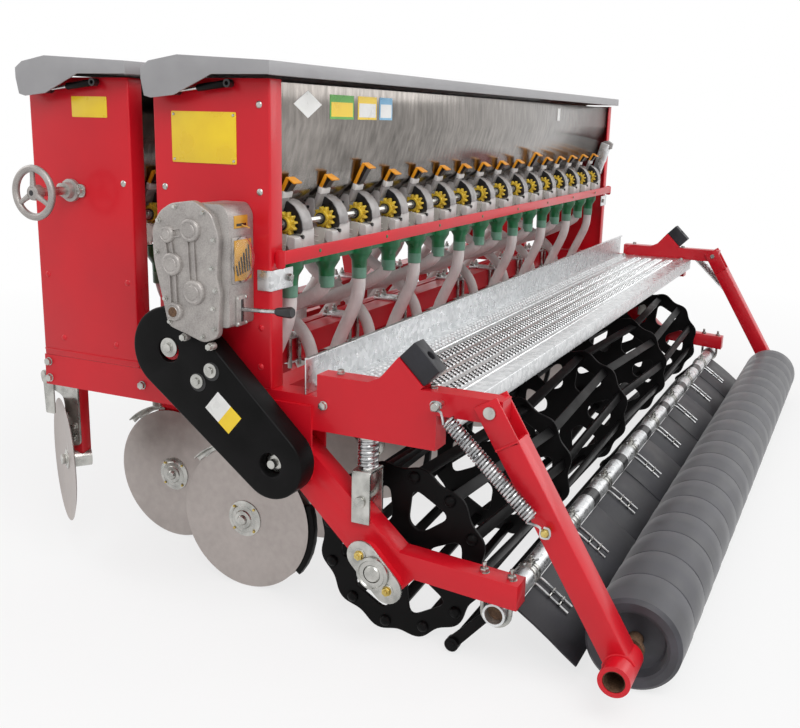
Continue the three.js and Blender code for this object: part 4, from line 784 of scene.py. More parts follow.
def meter_parts(raised):
    """The shapes of one metering unit about x = 0, with their finishes; raised lifts its slide."""
    slip, lift = (-9, 20) if raised else (0, 0)
    hood = [(-31, -13), (-29, 5), (-22, 21), (-11, 35), (3, 44), (16, 48)]
    inner_hood = [(y * 0.93, z * 0.93) for y, z in reversed(hood)]
    casing = by_shaft([(-28, -68), (-28, -13), (-24, -9), (30, -9), (62, -30), (52, -66)])
    wedge = by_shaft([(8, -18), (-25, -26), (-28, -28), (-28, -68), (-20, -60)])
    ring_plate = by_shaft([(-18, -20), (46, -14)]) + arc_points(METER_SHAFT, 66, 338, 262)
    ear = by_shaft([(16, 42), (30, 44), (42, 26), (44, -14), (24, -16), (14, 8)])
    arm = by_shaft([(21, 27), (14, 23), (0, 66), (7, 69)])
    collar = by_shaft([(8, 55), (0, 52), (-3, 64), (5, 68)])
    slide = by_shaft([(7, 69), (1, 66), (-12 + slip, 90 + lift), (-7 + slip, 95 + lift)])
    tab = by_shaft([(-7 + slip, 95 + lift), (-12 + slip, 90 + lift), (-25 + slip, 81 + lift),
                    (-27 + slip, 84 + lift)])
    # shade is a near-black plate beside the orange slide: painted shade under the slide's tab.
    shade = by_shaft([(1, 67), (-12 + slip, 89 + lift), (-19 + slip, 84 + lift), (-6, 66)])
    neck = by_shaft([(26, 30), (70, 30), (70, -10), (26, -10)])
    parts = [(slab(round_corners(casing, 4, 3), "x", -2, 44, edge=1.5), "white"),
             (slab(round_corners(wedge, 2, 2), "x", -34, -2, edge=1.2), "white"),
             (slab(neck, "x", -30, 40, edge=1.5), "white"),
             (slab(ring_plate, "x", -47, -44, edge=0.6), "clear"),
             (slab(gear_outline(METER_SHAFT, 18, 25, 11), "x", -30, -16, edge=0.8), "gear"),
             (turned([(11, -38), (16, -38), (16, -30), (11, -30)], (0, *METER_SHAFT), X, 20),
              "gear"), (turned([(8, -42), (12.5, -42), (12.5, -36), (8, -36)], (0, *METER_SHAFT), X,
                               20), "knob"), (turned([(6.9, -46), (10, -46), (10, -42), (6.9, -42)],
                                                     (0, *METER_SHAFT), X, 16), "plated"),
             (slab(by_shaft(hood + inner_hood), "x", -6, 34, edge=0.8), "smoked"),
             # The plate closing the hood is near black: painted shade inside the hood, behind the
             # gear.
             (slab(by_shaft(hood + [(16, -20), (-28, -20)]), "x", -10, -7, edge=0.4), "knob"),
             (slab(round_corners(ear, 5, 3), "x", -40, -36, edge=0.8), "smoked"),
             (bar((-41.5, *by_shaft([(30, 24)])[0]), (-40, *by_shaft([(30, 24)])[0]), 3.4, 10, 0.4),
              "knob"), (slab(round_corners(arm, 2, 2), "x", -36, 0, edge=0.8), "smoked"),
             (slab(collar, "x", -37, 1, edge=0.8), "white"),
             (slab(slide, "x", -34, -2, edge=0.8), "orange"),
             (slab(tab, "x", -34, -2, edge=0.8), "orange"), (slab(shade, "x", -29, -7), "knob"),
             (block((-8, *by_shaft([(-27, -24)])[0]), (4, *by_shaft([(-16, -12)])[0]), 1),
              "plated"), (bar((-4, *by_shaft([(-24, -27)])[0]), (-4, *by_shaft([(-31, -27)])[0]),
                              4.2, 8), "knob")]
    for radius in (36, 47, 58):
        parts.append((slab(arc_band(METER_SHAFT, radius, radius + 1.6, 270, 335, 10), "x", -48,
                           -46.5), "white"))
    return parts


class DRILL_OT_meters(bpy.types.Operator):
    """Metering units of both boxes on their shafts, the rail behind them and its clamps"""
    bl_idname = "drill.meters"
    bl_label = "Metering units"

    def execute(self, context):
        seed, fertiliser = Piece(), Piece()
        for piece, y0 in ((seed, 0.0), (fertiliser, FRONT_BOX_Y)):
            for row in range(ROWS):
                for shape, finish in meter_parts(row in (2, 10)):
                    piece.add(shape, finish, Matrix.Translation((row_x(row), y0, 0)))
            hexagon = circle((y0 + METER_SHAFT[0], METER_SHAFT[1]), 7, 6)
            piece.add(slab(hexagon, "x", -1294, 1294, edge=0.6), "plated")
        lever = round_corners([(52, 848), (14, 842), (-18, 966), (18, 978)], 6, 3)
        seed.add(slab(lever, "x", 1238, 1268, edge=2), "zinc")
        seed.add(slab([(-10, 946), (-24, 950), (-28, 972), (-8, 984), (12, 980), (16, 962)], "x",
                      1242, 1264, edge=3), "smoked")
        seed.close("seed_metering_units", "frame", "clear_plastic", ("seed_meters",))
        fertiliser.close("fertiliser_metering_units", "frame", "clear_plastic")
        rail = Piece()
        rail.add(cad_copy("meter_rail", 1.2), "red")
        for row in range(0, ROWS, 2):
            rail.add(bar((row_x(row) + 20, -22, 783), (row_x(row) + 20, -25.5, 783), 4, 12, 0.8),
                     "green")
        for x in (-1288, 1284.5):
            end_plate = round_corners([(-24.5, 760), (-3, 760), (-3, 797), (-24.5, 797)], 8, 4)
            rail.add(slab(end_plate, "x", x, x + 3.5, edge=0.8), "red")
        rail.close("metering_rail", "frame", "red_enamel", ("meter_rail",))
        clamp = Piece()
        for _, side in HANDS:
            clamp.add(block((side * 1302.5, -3.2, 716), (side * 1222, -0.4, 757), 1.0), "zinc")
            clamp.add(block((side * 1303.2, -3.2, 716), (side * 1300.4, 30, 757), 1.0), "zinc")
            bolt_on(clamp, (side * 1238, -3.2, 737), -Y, 13, 6, washer=16)
        clamp.close("column_clamps", "frame", "galvanised")
        return {"FINISHED"}


# ------------------------------------------------------------------ delivery tubes
SOCKET_TOP = 367.5


def seed_path(row):
    foot = rank_y(row) - 45
    if rank_y(row) == REAR_RANK:
        return [(38, 712), (38, 690), (46, 625), (foot - 4, SOCKET_TOP + 130),
                (foot, SOCKET_TOP + 50), (foot, SOCKET_TOP)]
    return [(38, 712), (40, 692), (68, 663), (198, 600), (325, 560), (foot - 30, 485),
            (foot, SOCKET_TOP + 60), (foot, SOCKET_TOP)]


def fertiliser_path(row):
    foot, y = rank_y(row) + 12, FRONT_BOX_Y + 38
    if rank_y(row) == FRONT_RANK:
        return [(y, 712), (y, 690), (y + 12, 635), (foot - 12, SOCKET_TOP + 150),
                (foot, SOCKET_TOP + 80), (foot, SOCKET_TOP)]
    return [(y, 712), (y - 2, 690), (y - 28, 640), (foot + 95, 585), (foot + 25, 525),
            (foot, SOCKET_TOP + 80), (foot, SOCKET_TOP)]


class DRILL_OT_tubes(bpy.types.Operator):
    """Green funnels and milky hoses from the metering units down to the openers"""
    bl_idname = "drill.tubes"
    bl_label = "Delivery tubes"

    def execute(self, context):
        for name, y, path_of, nodes in (("seed", 38.0, seed_path, ("seed_tubes",)),
                                        ("fertiliser", FRONT_BOX_Y + 38, fertiliser_path,
                                         ("fertiliser_meters_and_tubes",))):
            hoses, funnels = Piece(), Piece()
            for row in range(ROWS):
                x = row_x(row)
                path = [(x, *point) for point in path_of(row)]
                hoses.add(sweep(smooth_line(path, 5), 16.2, 14), "hose")
                hoses.add(turned([(16.4, 0), (18.4, 1), (18.4, 9), (16.4, 10)],
                                 (x, path[-1][1], SOCKET_TOP + 14), Z, 16), "plated")
                funnels.add(turned([(15, 706), (17.6, 707), (18.6, 726), (28.5, 742), (30, 745),
                                    (30, 766), (27.5, 766), (27.5, 748), (16, 727)], (x, y, 0), Z,
                                   24), "green")
                funnels.add(turned([(16.4, 682), (17.4, 683), (18.0, 708), (16.4, 709)], (x, y, 0),
                                   Z, 20), "tinted")
            funnels.add(block((row_x(0), y - 2, 744), (row_x(ROWS - 1), y + 2, 758), 0.8), "green")
            hoses.close(f"{name}_hoses", "frame", "milky_plastic", nodes)
            funnels.close(f"{name}_funnels", "frame", "milky_plastic")
        return {"FINISHED"}


# ------------------------------------------------------------------ drive
class DRILL_OT_drive(bpy.types.Operator):
    """Gearbox with its lever and window, chain guard and handwheel"""
    bl_idname = "drill.drive"
    bl_label = "Drive"

    def execute(self, context):
        self.gearbox()
        self.guard()
        self.handwheel()
        return {"FINISHED"}

    def gearbox(self):
        box, face = Piece(), -1400.0
        cover = [(57, 634), (89, 620), (176, 646), (186, 691), (206, 773), (208, 832), (190, 868),
                 (162, 886), (108, 894), (66, 870), (52, 828), (58, 748), (50, 719)]
        casting = [(40, 652), (150, 646), (180, 690), (200, 775), (200, 830), (158, 880),
                   (108, 888), (52, 888), (39, 868)]
        box.add(slab(round_corners(cover, 12, 4), "x", face, face + 17, edge=3, segments=3), "cast")
        box.add(slab(round_corners(casting, 8, 3), "x", face + 16, -FACE, edge=2), "cast")
        bosses = ((115, 837, 22), (169, 826, 16), (160, 769, 22), (110, 718, 24), (157, 676, 18))
        for y, z, r in bosses:
            raised = [(0.01, 8), (r * 0.55, 8), (r * 0.6, 7), (r * 0.72, 7), (r * 0.78, 8),
                      (r * 0.92, 7.4), (r, 5.5), (r + 1.5, -1)]
            box.add(turned(raised, (face, y, z), -X, 32), "cast")
        box.add(turned([(0.01, 3), (9, 3), (10, 1)], (face - 7, 157, 676), -X, 20), "rust")
        for first, second in ((0, 1), (1, 2), (2, 4), (0, 3)):
            (y0, z0, _), (y1, z1, _) = bosses[first], bosses[second]
            run = Vector((y1 - y0, z1 - z0)).normalized()
            wide = Vector((-run.y, run.x)) * 7
            for sign in (-1, 1):
                a, b = Vector((y0, z0)) + wide * sign, Vector((y1, z1)) + wide * sign
                strip = Vector((-run.y, run.x)) * 1.5
                outline = [tuple(a - strip), tuple(b - strip), tuple(b + strip), tuple(a + strip)]
                box.add(slab(outline, "x", face - 4, face + 1, edge=1), "cast")
        for y, z in ((64, 650), (92, 632), (170, 655), (180, 700), (196, 790), (190, 852),
                     (150, 880), (84, 872), (62, 822), (67, 768), (60, 726), (66, 690)):
            bolt_on(box, (face, y, z), -X, 7, 4, washer=10)
        for y, z in ((78, 618), (140, 630)):
            box.add(bar((face + 2, y, z - 4), (face + 16, y, z - 4), 8, 20, 1), "cast")
            bolt_on(box, (face + 2, y, z - 4), -X, 12, 5, washer=14)
        rear = 39.0
        box.add(block((-1376, rear - 3, 736), (-1310, rear + 4, 826), 3), "cast")
        box.add(block((-1371, rear - 4.2, 742), (-1315, rear - 3, 820), 1), "brass")
        for i in range(6):
            foot = (-1362 + 8 * i, rear - 4.6, 752 + 1.5 * i)
            box.add(bar(foot, (foot[0] - 5, rear - 4.6, 772 + 7.5 * i), 1.8, 8), "knob")
        dome = [(0.01, 17), (20, 15.5), (32, 11), (40, 4), (42, 0), (39, 0), (31, 8.5), (19, 13),
                (0.01, 14.5)]
        glass = turned(dome, (0, 0, 0), -Y, 40)
        box.add(glass, "glass",
                Matrix.Translation((-1343, rear - 3, 782)) @ Matrix.Diagonal((0.8, 0.9, 1.1, 1)))
        box.add(block((-1364, rear - 2.5, 652), (-1328, rear + 2, 712), 1.5), "cast")
        box.add(block((-1350, rear - 3.4, 660), (-1342, rear - 2, 704), 1.0), "knob")
        for x, z in ((-1360, 657), (-1332, 657), (-1360, 707), (-1332, 707)):
            box.add(turned([(0.01, 2.6), (2.6, 2.2), (3.6, 0)], (x, rear - 2.4, z), -Y, 12),
                    "plated")
        box.add(block((-1366, rear - 1.5, 842), (-1322, rear + 3, 866), 1), "brass")
        box.add(block((-1360, rear - 2, 846), (-1328, rear, 851), 0.4), "knob")
        box.add(bar((-1344, rear, 848.5), (-1334, rear - 14, 842), 1.4, 8, 0.4), "brass")
        lever = [Vector((-1346, rear + 6, 684)), Vector((-1354, -5, 687)),
                 Vector((-1360, -62, 691))]
        box.add(sweep(smooth_line(lever, 4), 4.2, 14), "spring")
        knob = [(0.01, 0), (7, 0.5), (8.5, 6), (10.5, 24), (11, 34), (9, 38), (0.01, 38)]
        box.add(turned(knob, (-1359.8, -50, 690.4), Vector((-0.05, -1, 0.05)), 24), "knob")
        box.close("gearbox_casting", "frame", "cast_aluminium", ("gearbox",))

    def guard(self):
        guard = Piece()
        top, low = (194.0, 590.0), ARM_PIVOT
        heading = math.atan2(low[1] - top[1], low[0] - top[0])
        outline = []
        for (y, z), radius, start in ((top, 88.0, heading + math.pi / 2),
                                      (low, 71.0, heading - math.pi / 2)):
            outline += [(y + radius * math.cos(start + math.pi * i / 24),
                         z + radius * math.sin(start + math.pi * i / 24)) for i in range(25)]
        guard.add(slab(outline, "x", -1380, -1325, holes=(circle(low, 24, 28), circle(top, 24, 28)),
                       edge=5, segments=3), "black")
        guard.add(bar((-1326, *top), (-1301, *top), 20, 20), "black")
        guard.add(bar((-1370, *top), (-1350, *top), 22, 20), "red")
        guard.add(bar((-1382, top[0] - 3, top[1] + 6), (-1378, top[0] - 3, top[1] + 6), 20, 28,
                      0.6), "plated")
        bolt_on(guard, (-1381.5, top[0] - 3, top[1] + 6), -X, 17, 5, washer=22)
        for y, z in ((122, 533), (89, 559)):
            guard.add(bar((-1380.6, y, z), (-1379.5, y, z), 19, 20), "knob")
            bolt_on(guard, (-1380.6, y + 2, z + 2), -X, 15, 5, washer=30)
        bolt_on(guard, (-1352, *low), -X, 30, 8, washer=44)
        guard.add(bar((-1362, *low), (-1376, *low), 9, 20, 1), "plated")
        run = Vector((low[0] - top[0], low[1] - top[1])).normalized()
        wide = Vector((run.y, -run.x))
        middle = Vector(top).lerp(Vector(low), 0.5)

        def tag(s0, s1, finish, depth):
            corners = [middle + run * s + wide * t for s,
                       t in ((s0, -24), (s1, -24), (s1, 24), (s0, 24))]
            guard.add(slab([tuple(c) for c in corners], "x", -1380 - depth, -1379.6), finish)

        tag(-20, 20, "white_foil", 0.5)
        tag(20, 52, "yellow_foil", 0.5)
        guard.close("chain_guard_cover", "frame", "black_enamel", ("chain_guard",))

    def handwheel(self):
        wheel, x, y, z = Piece(), -1408.0, 500.0, 888.0
        rim = [(49 + 7.6 * math.cos(a), 7.6 * math.sin(a)) for a in
               (2 * math.pi * i / 16 for i in range(16))]
        wheel.add(turned(rim, (x, y, z), X, 64), "cast")
        for i in range(3):
            angle = math.radians(90 + 120 * i)
            out = Vector((0, math.cos(angle), math.sin(angle)))
            centre = Vector((x, y, z))
            wheel.add(sweep([centre + out * 12 - X, centre + out * 30 - X, centre + out * 44],
                            [6.5, 5, 5.5], 14), "cast")
        wheel.add(turned([(0.01, -7.6), (9, -7.6), (15, -4), (16, 3), (16, 14), (10, 17),
                          (0.01, 17)], (x, y, z), X, 32), "cast")
        wheel.add(bar((x - 7.9, y, z), (x - 6, y, z), 6, 16, 0.6), "knob")
        wheel.add(bar((x + 8, y, z), (-FACE, y, z), 9, 24), "plated")
        wheel.add(turned([(9, 0), (24, 0), (24, 8), (18, 10), (16, 22), (9, 22)], (-FACE, y, z), -X,
                         32), "cast")
        flange = slab(round_corners([(y - 40, z - 14), (y + 40, z - 14), (y + 40, z + 14),
                                     (y - 40, z + 14)], 13, 5), "x", -1305, -FACE, edge=1)
        wheel.add(flange, "plated")
        for dy in (-29, 29):
            bolt_on(wheel, (-1305, y + dy, z), -X, 12, 6)
        wheel.close("height_handwheel", "frame", "spring_steel", ("handwheel",))


# ------------------------------------------------------------------ walkway
class DRILL_OT_walkway(bpy.types.Operator):
    """Galvanised tread with its louvres, bumps and ridges, and its toe board"""
    bl_idname = "drill.walkway"
    bl_label = "Walkway"

    def execute(self, context):
        walkway = Piece()
        half, top, front, rear = 1249.7, FRAME_TOP + 3.3, -77.0, -385.0
        section = [(front, top), (rear, top), (rear, top - 40), (rear + 14, top - 40),
                   (rear + 14, top - 37), (rear + 3, top - 37), (rear + 3, top - 3),
                   (front, top - 3)]
        walkway.add(slab(round_corners(section, 2.5, 2, only=(1, 2)), "x", -half, half, edge=0.4),
                    "zinc")
        board = [(front, FRAME_TOP + 0.3), (front, top + 72), (front - 9, top + 72),
                 (front - 9, top + 69), (front - 3, top + 69), (front - 3, FRAME_TOP + 0.3)]
        walkway.add(slab(board, "x", -HALF, HALF, edge=0.6), "zinc")
        for y in (-153.0, -340.0):
            ridge = [(y - 4, top - 0.5), (y - 1.5, top + 1.8), (y + 1.5, top + 1.8),
                     (y + 4, top - 0.5)]
            walkway.add(slab(ridge, "x", -half, half, edge=0.5), "zinc")
        count = context.scene.drill_sizes.louvres
        pitch = 2380.0 / count
        # Each louvre's mouth is a small near-black block beside its lip: painted shade in the
        # louvre's opening.
        painted_louvre_shade = block((-5.5, -2.6, top - 0.2), (-3, 2.6, top + 2.6))
        lip = bar((1.5, 0, top - 0.5), (1.0, 0, top + 3.4), 6, 8, tip=3.4)
        bump = bar((0, 0, top - 0.5), (0, 0, top + 2.8), 6.5, 8, tip=3.0)
        for band in (-188.0, -230.0, -272.0, -315.0):
            for line in (-9.5, 0.0, 9.5):
                shift = pitch / 2 if line == 0 else 0
                self.run(walkway, ((painted_louvre_shade, "knob"), (lip, "zinc")), band + line, pitch, count,
                         shift)
        for y in (-108.0, -122.0, -136.0):
            self.run(walkway, ((bump, "zinc"),), y, pitch, count, pitch / 2 if y == -122 else 0)
        for shape in (painted_louvre_shade, lip, bump):
            shape.free()
        for _, side in HANDS:
            for y in (-115.0, -350.0):
                bolt_on(walkway, (side * 1230, y, top), Z, 12, 4, washer=18)
        walkway.close("walkway_tread", "frame", "galvanised", ("walkway",))
        return {"FINISHED"}

    def run(self, piece, shapes, y, pitch, count, shift):
        """One line of repeated shapes along the walkway."""
        for i in range(count - 1):
            spot = Matrix.Translation((-1190 + pitch * i + shift, y, 0))
            for shape, finish in shapes:
                piece.add(shape, finish, spot, keep=True)


# ------------------------------------------------------------------ toolbars, openers and discs
class DRILL_OT_openers(bpy.types.Operator):
    """Toolbars with their openers and clamps, the disc pairs and their scrapers"""
    bl_idname = "drill.openers"
    bl_label = "Openers and discs"

    def execute(self, context):
        edge = context.scene.drill_sizes.edge
        for node, rank in (("rear_toolbar", REAR_RANK), ("front_toolbar_headstock", FRONT_RANK)):
            toolbar = Piece()
            toolbar.add(cad_copy(node, edge), "red")
            for row in range(ROWS):
                if rank_y(row) == rank:
                    self.clamp(toolbar, row_x(row), rank)
            if rank == FRONT_RANK:
                for _, side in HANDS:
                    for start, end in (((side * 402, 690, 400), (side * 440, 690, 400)),
                                       ((side * 30, 682, 1010), (side * 62, 682, 1010))):
                        toolbar.add(bar(start, end, 12, 24, 1.5), "plated")
            toolbar.close(f"{node}_weldment", "frame", "red_enamel", (node,))
        for row in range(ROWS):
            self.discs(row)
        return {"FINISHED"}

    def clamp(self, toolbar, x, rank):
        """Galvanised clamp plates and bolts on the toolbar, disc scrapers, and a black strip
        between the discs at their rear edge, painted shade in the gap between them.
        """
        middle = rank + 105
        toolbar.add(block((x - 34, middle - 44, FRAME_TOP), (x + 34, middle + 44, FRAME_TOP + 8),
                          1.5), "zinc")
        toolbar.add(block((x - 26, middle - 38, FRAME_TOP - 64),
                          (x + 26, middle + 38, FRAME_TOP - 60), 1), "zinc")
        for dx in (-22, 22):
            for dy in (-37, 37):
                bolt_on(toolbar, (x + dx, middle + dy, FRAME_TOP + 8), Z, 15, 8, shank=8)
                toolbar.add(bar((x + dx, middle + dy, FRAME_TOP),
                                (x + dx, middle + dy, FRAME_TOP - 74), 5.5, 10, 0.8), "plated")
        axle = (rank, AXLE_Z)
        for side in (-1, 1):
            scraper = arc_band(axle, 168, 181, 44, 82, 12)
            toolbar.add(slab(scraper, "x", x + side * 11, x + side * 15, edge=1), "plated")
            toolbar.add(slab(arc_band(axle, 178, 181, 44, 82, 12), "x", x + side * 14,
                             x + side * 26, edge=1), "plated")
            toolbar.add(block((x + side * 15, rank + 28, 336), (x + side * 27, rank + 52, 356), 2),
                        "plated")
            bolt_on(toolbar, (x + side * 21, rank + 40, 356), Z, 10, 5)
        # A black strip between the two discs at their rear edge: painted shade in the gap between
        # the discs.
        toolbar.add(slab(arc_band(axle, 150, 178, 160, 218, 6), "x", x - 9, x + 9, edge=2), "black")

    def discs(self, row):
        discs, x, y = Piece(), row_x(row), rank_y(row)
        centre = (x, y, AXLE_Z)
        for side in (-1, 1):
            blade = [(19, -1.5), (158, -1.5), (164.9, -0.3), (164.9, 0.3), (158, 1.5), (19, 1.5)]
            discs.add(turned([(r, a + 12 * side) for r, a in blade], centre, X, 80), "disc")
            hub = [(0.01, 31), (9, 31), (11, 29), (12, 24), (20, 23), (22, 20), (31, 19), (33, 17),
                   (42, 15.5), (43, 13), (0.01, 13)]
            discs.add(turned(hub, centre, X * side, 40), "plated")
            for i in range(4):
                angle = math.pi / 4 + math.pi / 2 * i
                spot = (x + side * 16, y + 37 * math.cos(angle), AXLE_Z + 37 * math.sin(angle))
                discs.add(bar(spot, (spot[0] + side * 3.5, spot[1], spot[2]), 3.2, 8, 0.8), "gold")
        discs.add(bar((x - 12, y, AXLE_Z), (x + 12, y, AXLE_Z), 19.5, 24), "plated")
        name = f"opener_discs_{row + 1:02d}"
        discs.close(f"disc_pair_{row + 1:02d}", name, "disc_steel", (name,))


class DRILL_OT_ridgers(bpy.types.Operator):
    """Ridging discs at the front corners with their brackets and scrapers"""
    bl_idname = "drill.ridgers"
    bl_label = "Ridging discs"

    def execute(self, context):
        turn = math.radians(37)
        for hand, side in HANDS:
            centre = Vector((side * 1250, 616, 247))
            inward = Vector((-side * math.cos(turn), -math.sin(turn), 0))
            disc = Piece()
            dish = [(17, 6), (90, 5), (131, 1.6), (146.3, -1.2), (146.5, -0.5), (132, 3.8), (90, 8),
                    (17, 9)]
            disc.add(turned(dish, centre, inward, 80), "disc")
            disc.add(turned([(0.01, 2), (18, 2), (24, 4), (24, 9), (18, 14), (0.01, 14)], centre,
                            inward, 32), "plated")
            bolt_on(disc, centre + inward * 2.5, -inward, 22, 9, washer=30)
            disc.close(f"ridging_disc_{hand}", f"ridger_disc_{hand}", "disc_steel",
                       (f"ridger_disc_{hand}",))
            self.bracket(hand, side, centre, inward)
        return {"FINISHED"}

    def bracket(self, hand, side, centre, inward):
        bracket = Piece()
        leg = centre + inward * 40
        top = FRAME_TOP - 60.3
        bracket.add(block((leg.x - 16, leg.y - 16, 262), (leg.x + 16, leg.y + 16, top), 3), "red")
        bracket.add(turned([(14, 15), (22, 15), (22, 60), (14, 60)], centre, inward, 32), "plated")
        bracket.add(turned([(0.01, 16), (14, 16), (14, 57), (0.01, 57)], centre, inward, 24),
                    "rust")
        x0 = leg.x + side * 16
        plate_shape = round_corners([(leg.y - 17, top), (leg.y - 17, 284), (leg.y + 12, 280),
                                     (leg.y + 28, 400), (leg.y + 94, top - 30), (leg.y + 94, top)],
                                    12, 4)
        bracket.add(slab(plate_shape, "x", x0, x0 + side * 6, edge=1), "plated")
        for y, z in ((leg.y + 80, top - 9), (leg.y + 74, top - 24), (leg.y - 3, 330),
                     (leg.y - 1, 300)):
            bolt_on(bracket, (x0 + side * 6, y, z), X * side, 13, 6, washer=19)
        along = Vector((inward.y, -inward.x, 0)) * side
        strip = []
        for reach, z, lean in ((30, top - 40, 20), (22, 390, 15), (8, 350, 11), (-8, 300, 8.5),
                               (-14, 268, 8)):
            strip.append(centre + along * reach + inward * lean + Z * (z - centre.z))
        for offset in (-7, -3.5, 0, 3.5, 7):
            bracket.add(sweep(smooth_line([p + along * offset for p in strip], 4), 2.6, 6), "white")
        guard = [(centre.y + 30, top - 4), (centre.y + 62, top - 4), (centre.y + 58, 352),
                 (centre.y + 30, 352)]
        bracket.add(slab(round_corners(guard, 4, 3), "x", x0 + side * 5, x0 + side * 9, edge=0.8),
                    "plated")
        bracket.close(f"ridging_bracket_{hand}", "frame", "galvanised", (f"ridger_bracket_{hand}",))


# ------------------------------------------------------------------ cage roller
class DRILL_OT_cage(bpy.types.Operator):
    """Cage roller: scalloped discs, zigzag bars and stub shafts, with the arms that carry it"""
    bl_idname = "drill.cage"
    bl_label = "Cage roller"

    def execute(self, context):
        self.cage()
        for hand, side in HANDS:
            self.arm(hand, side)
            self.spring(hand, side)
        return {"FINISHED"}

    def cage(self):
        cage = Piece()
        lobe = math.radians(15)
        rim = []
        for i in range(144):
            angle = 2 * math.pi * i / 144
            reach = 185.2 + 6 * math.cos(12 * (angle - lobe))
            rim.append((CAGE[0] + reach * math.cos(angle), CAGE[1] + reach * math.sin(angle)))
        windows = []
        for i in range(6):
            corners = []
            for radius, spread in ((68, -15), (68, 15), (146, 20), (146, -20)):
                angle = math.radians(60 * i + spread)
                corners.append((CAGE[0] + radius * math.cos(angle),
                                CAGE[1] + radius * math.sin(angle)))
            windows.append(round_corners(corners, 26, 5))
        spots = [-1210 + 605 * i for i in range(5)]
        for x in spots:
            cage.add(slab(rim, "x", x - 4, x + 4, holes=windows, edge=1.2, segments=1), "black")
        for b in range(12):
            path = []
            for i, x in enumerate(spots):
                angle = lobe * (2 * b + 1) + math.radians(-5 if i % 2 == 0 else 5)
                path.append(Vector((x, CAGE[0] + 168 * math.cos(angle),
                                    CAGE[1] + 168 * math.sin(angle))))
            for start, end in zip(path, path[1:]):
                along = (end - start).normalized()
                out = Vector((0, (start.y + end.y) / 2 - CAGE[0],
                              (start.z + end.z) / 2 - CAGE[1])).normalized()
                lie = Matrix((out.cross(along), out, along)).transposed().to_4x4()
                flat = block((-12, -5, 0), (12, 5, (end - start).length), 1.2)
                cage.add(flat, "black", Matrix.Translation(start) @ lie)
            for x, point in ((-1214, path[0]), (1214, path[-1])):
                cage.add(turned([(0.01, 9), (6, 8.5), (10.5, 6), (13, 1), (13, -3), (0.01, -3)],
                                (x, point.y, point.z), X if x > 0 else -X, 16), "black")
        for _, side in HANDS:
            start = Vector((side * 1180, *CAGE))
            cage.add(turned([(0.01, 0), (17.6, 0), (17.6, 160), (15, 162.8), (0.01, 162.8)], start,
                            X * side, 32), "plated")
            cage.add(turned([(17, 36), (34, 36), (30, 48), (22, 60), (17, 60)], start, X * side,
                            32), "black")
            pin = Vector((side * 1336, CAGE[0], CAGE[1]))
            cage.add(bar(pin - Z * 16 + Y * 6, pin + Z * 15 - Y * 5, 2.4, 8), "spring")
        cage.close("cage_roller_weldment", "cage_roller", "black_enamel", ("cage_roller",))

    def arm(self, hand, side):
        arm = Piece()
        arm.add(cad_copy(f"roller_arm_{hand}", 3), "red")
        outer = side * (HALF - 0.3)
        run = Vector((-1, -1)).normalized()
        ends = [(Vector(CAGE) - run * 40, 32), (Vector(CAGE) + run * 40, 32)]
        outline = []
        for (centre, radius), start in zip(ends, (math.radians(-45), math.radians(135))):
            for i in range(13):
                angle = start + math.pi * i / 12
                outline.append((centre.x + radius * math.cos(angle),
                                centre.y + radius * math.sin(angle)))
        cup = slab(outline, "x", side * (HALF + 26), side * (HALF + 32.5), edge=1.5)
        arm.add(cup, "plated")
        arm.add(turned([(18.6, 32), (30, 32), (34, 36), (34, 41), (29, 44), (27, 41), (18.6, 41)],
                       (outer, *CAGE), X * side, 40), "plated")
        for sign in (-1, 1):
            spot = Vector(CAGE) + run * 44 * sign
            arm.add(bar((side * (HALF + 32), spot.x, spot.y),
                        (side * (HALF + 34.5), spot.x, spot.y), 13, 20, 0.5), "plated")
            bolt_on(arm, (side * (HALF + 34), spot.x, spot.y), X * side, 16, 6, "gold", washer=20,
                    shank=3)
        middle = side * (HALF - 25)
        for dy in (-28, 28):
            spot = (middle, PIPE[0] + dy, 206 + (dy + 48) * 0.065)
            bolt_on(arm, spot, Z, 16, 8, washer=22, shank=12)
            arm.add(bar((middle, PIPE[0] + dy, 158), (middle, PIPE[0] + dy, 134), 5, 12), "plated")
        hoop = [(middle, PIPE[0] + 28 * math.cos(a), 134 + 27 * math.sin(a)) for a in
                (math.pi + math.pi * i / 10 for i in range(11))]
        arm.add(sweep(hoop, 5, 12), "plated")
        arm.add(bar((side * (HALF + 6), *ARM_PIVOT), (side * (HALF + 8), *ARM_PIVOT), 20, 24, 0.5),
                "plated")
        arm.close(f"roller_arm_weldment_{hand}", "frame", "red_enamel", (f"roller_arm_{hand}",))

    def spring(self, hand, side):
        spring, y, middle = Piece(), -208.0, side * (HALF - 25)
        outer, inner = side * (HALF + 6), side * (HALF - 56)
        low, seat = 270, 380
        strap = [(outer, low), (outer, seat), (inner, seat), (inner, low),
                 (inner + side * 5.5, low), (inner + side * 5.5, seat - 6),
                 (outer - side * 5.5, seat - 6), (outer - side * 5.5, low)]
        rounded = round_corners(strap, [1, 10, 10, 1, 1, 6, 6, 1], 4)
        spring.add(slab(rounded, "y", y - 20, y + 20, edge=1), "plated")
        spring.add(bar((side * (HALF + 12), y, 316), (inner - side * 8, y, 316), 6, 16), "plated")
        spring.add(bar((outer, y, 316), (outer + side * 7, y, 316), 12, 24, 1.5), "plated")
        spring.add(bar((middle, y, seat - 2), (middle, y, 445.7), 9, 20), "black")
        spring.add(coil((middle, y, seat + 2), (middle, y, 443), 18, 3.6, 9.5, 16, 8), "spring")
        spring.add(turned([(9, 0), (24, 0), (24, 3), (9, 3)], (middle, y, 442.6), Z, 24), "plated")
        spring.close(f"downforce_coil_{hand}", "frame", "galvanised", (f"downforce_spring_{hand}",))


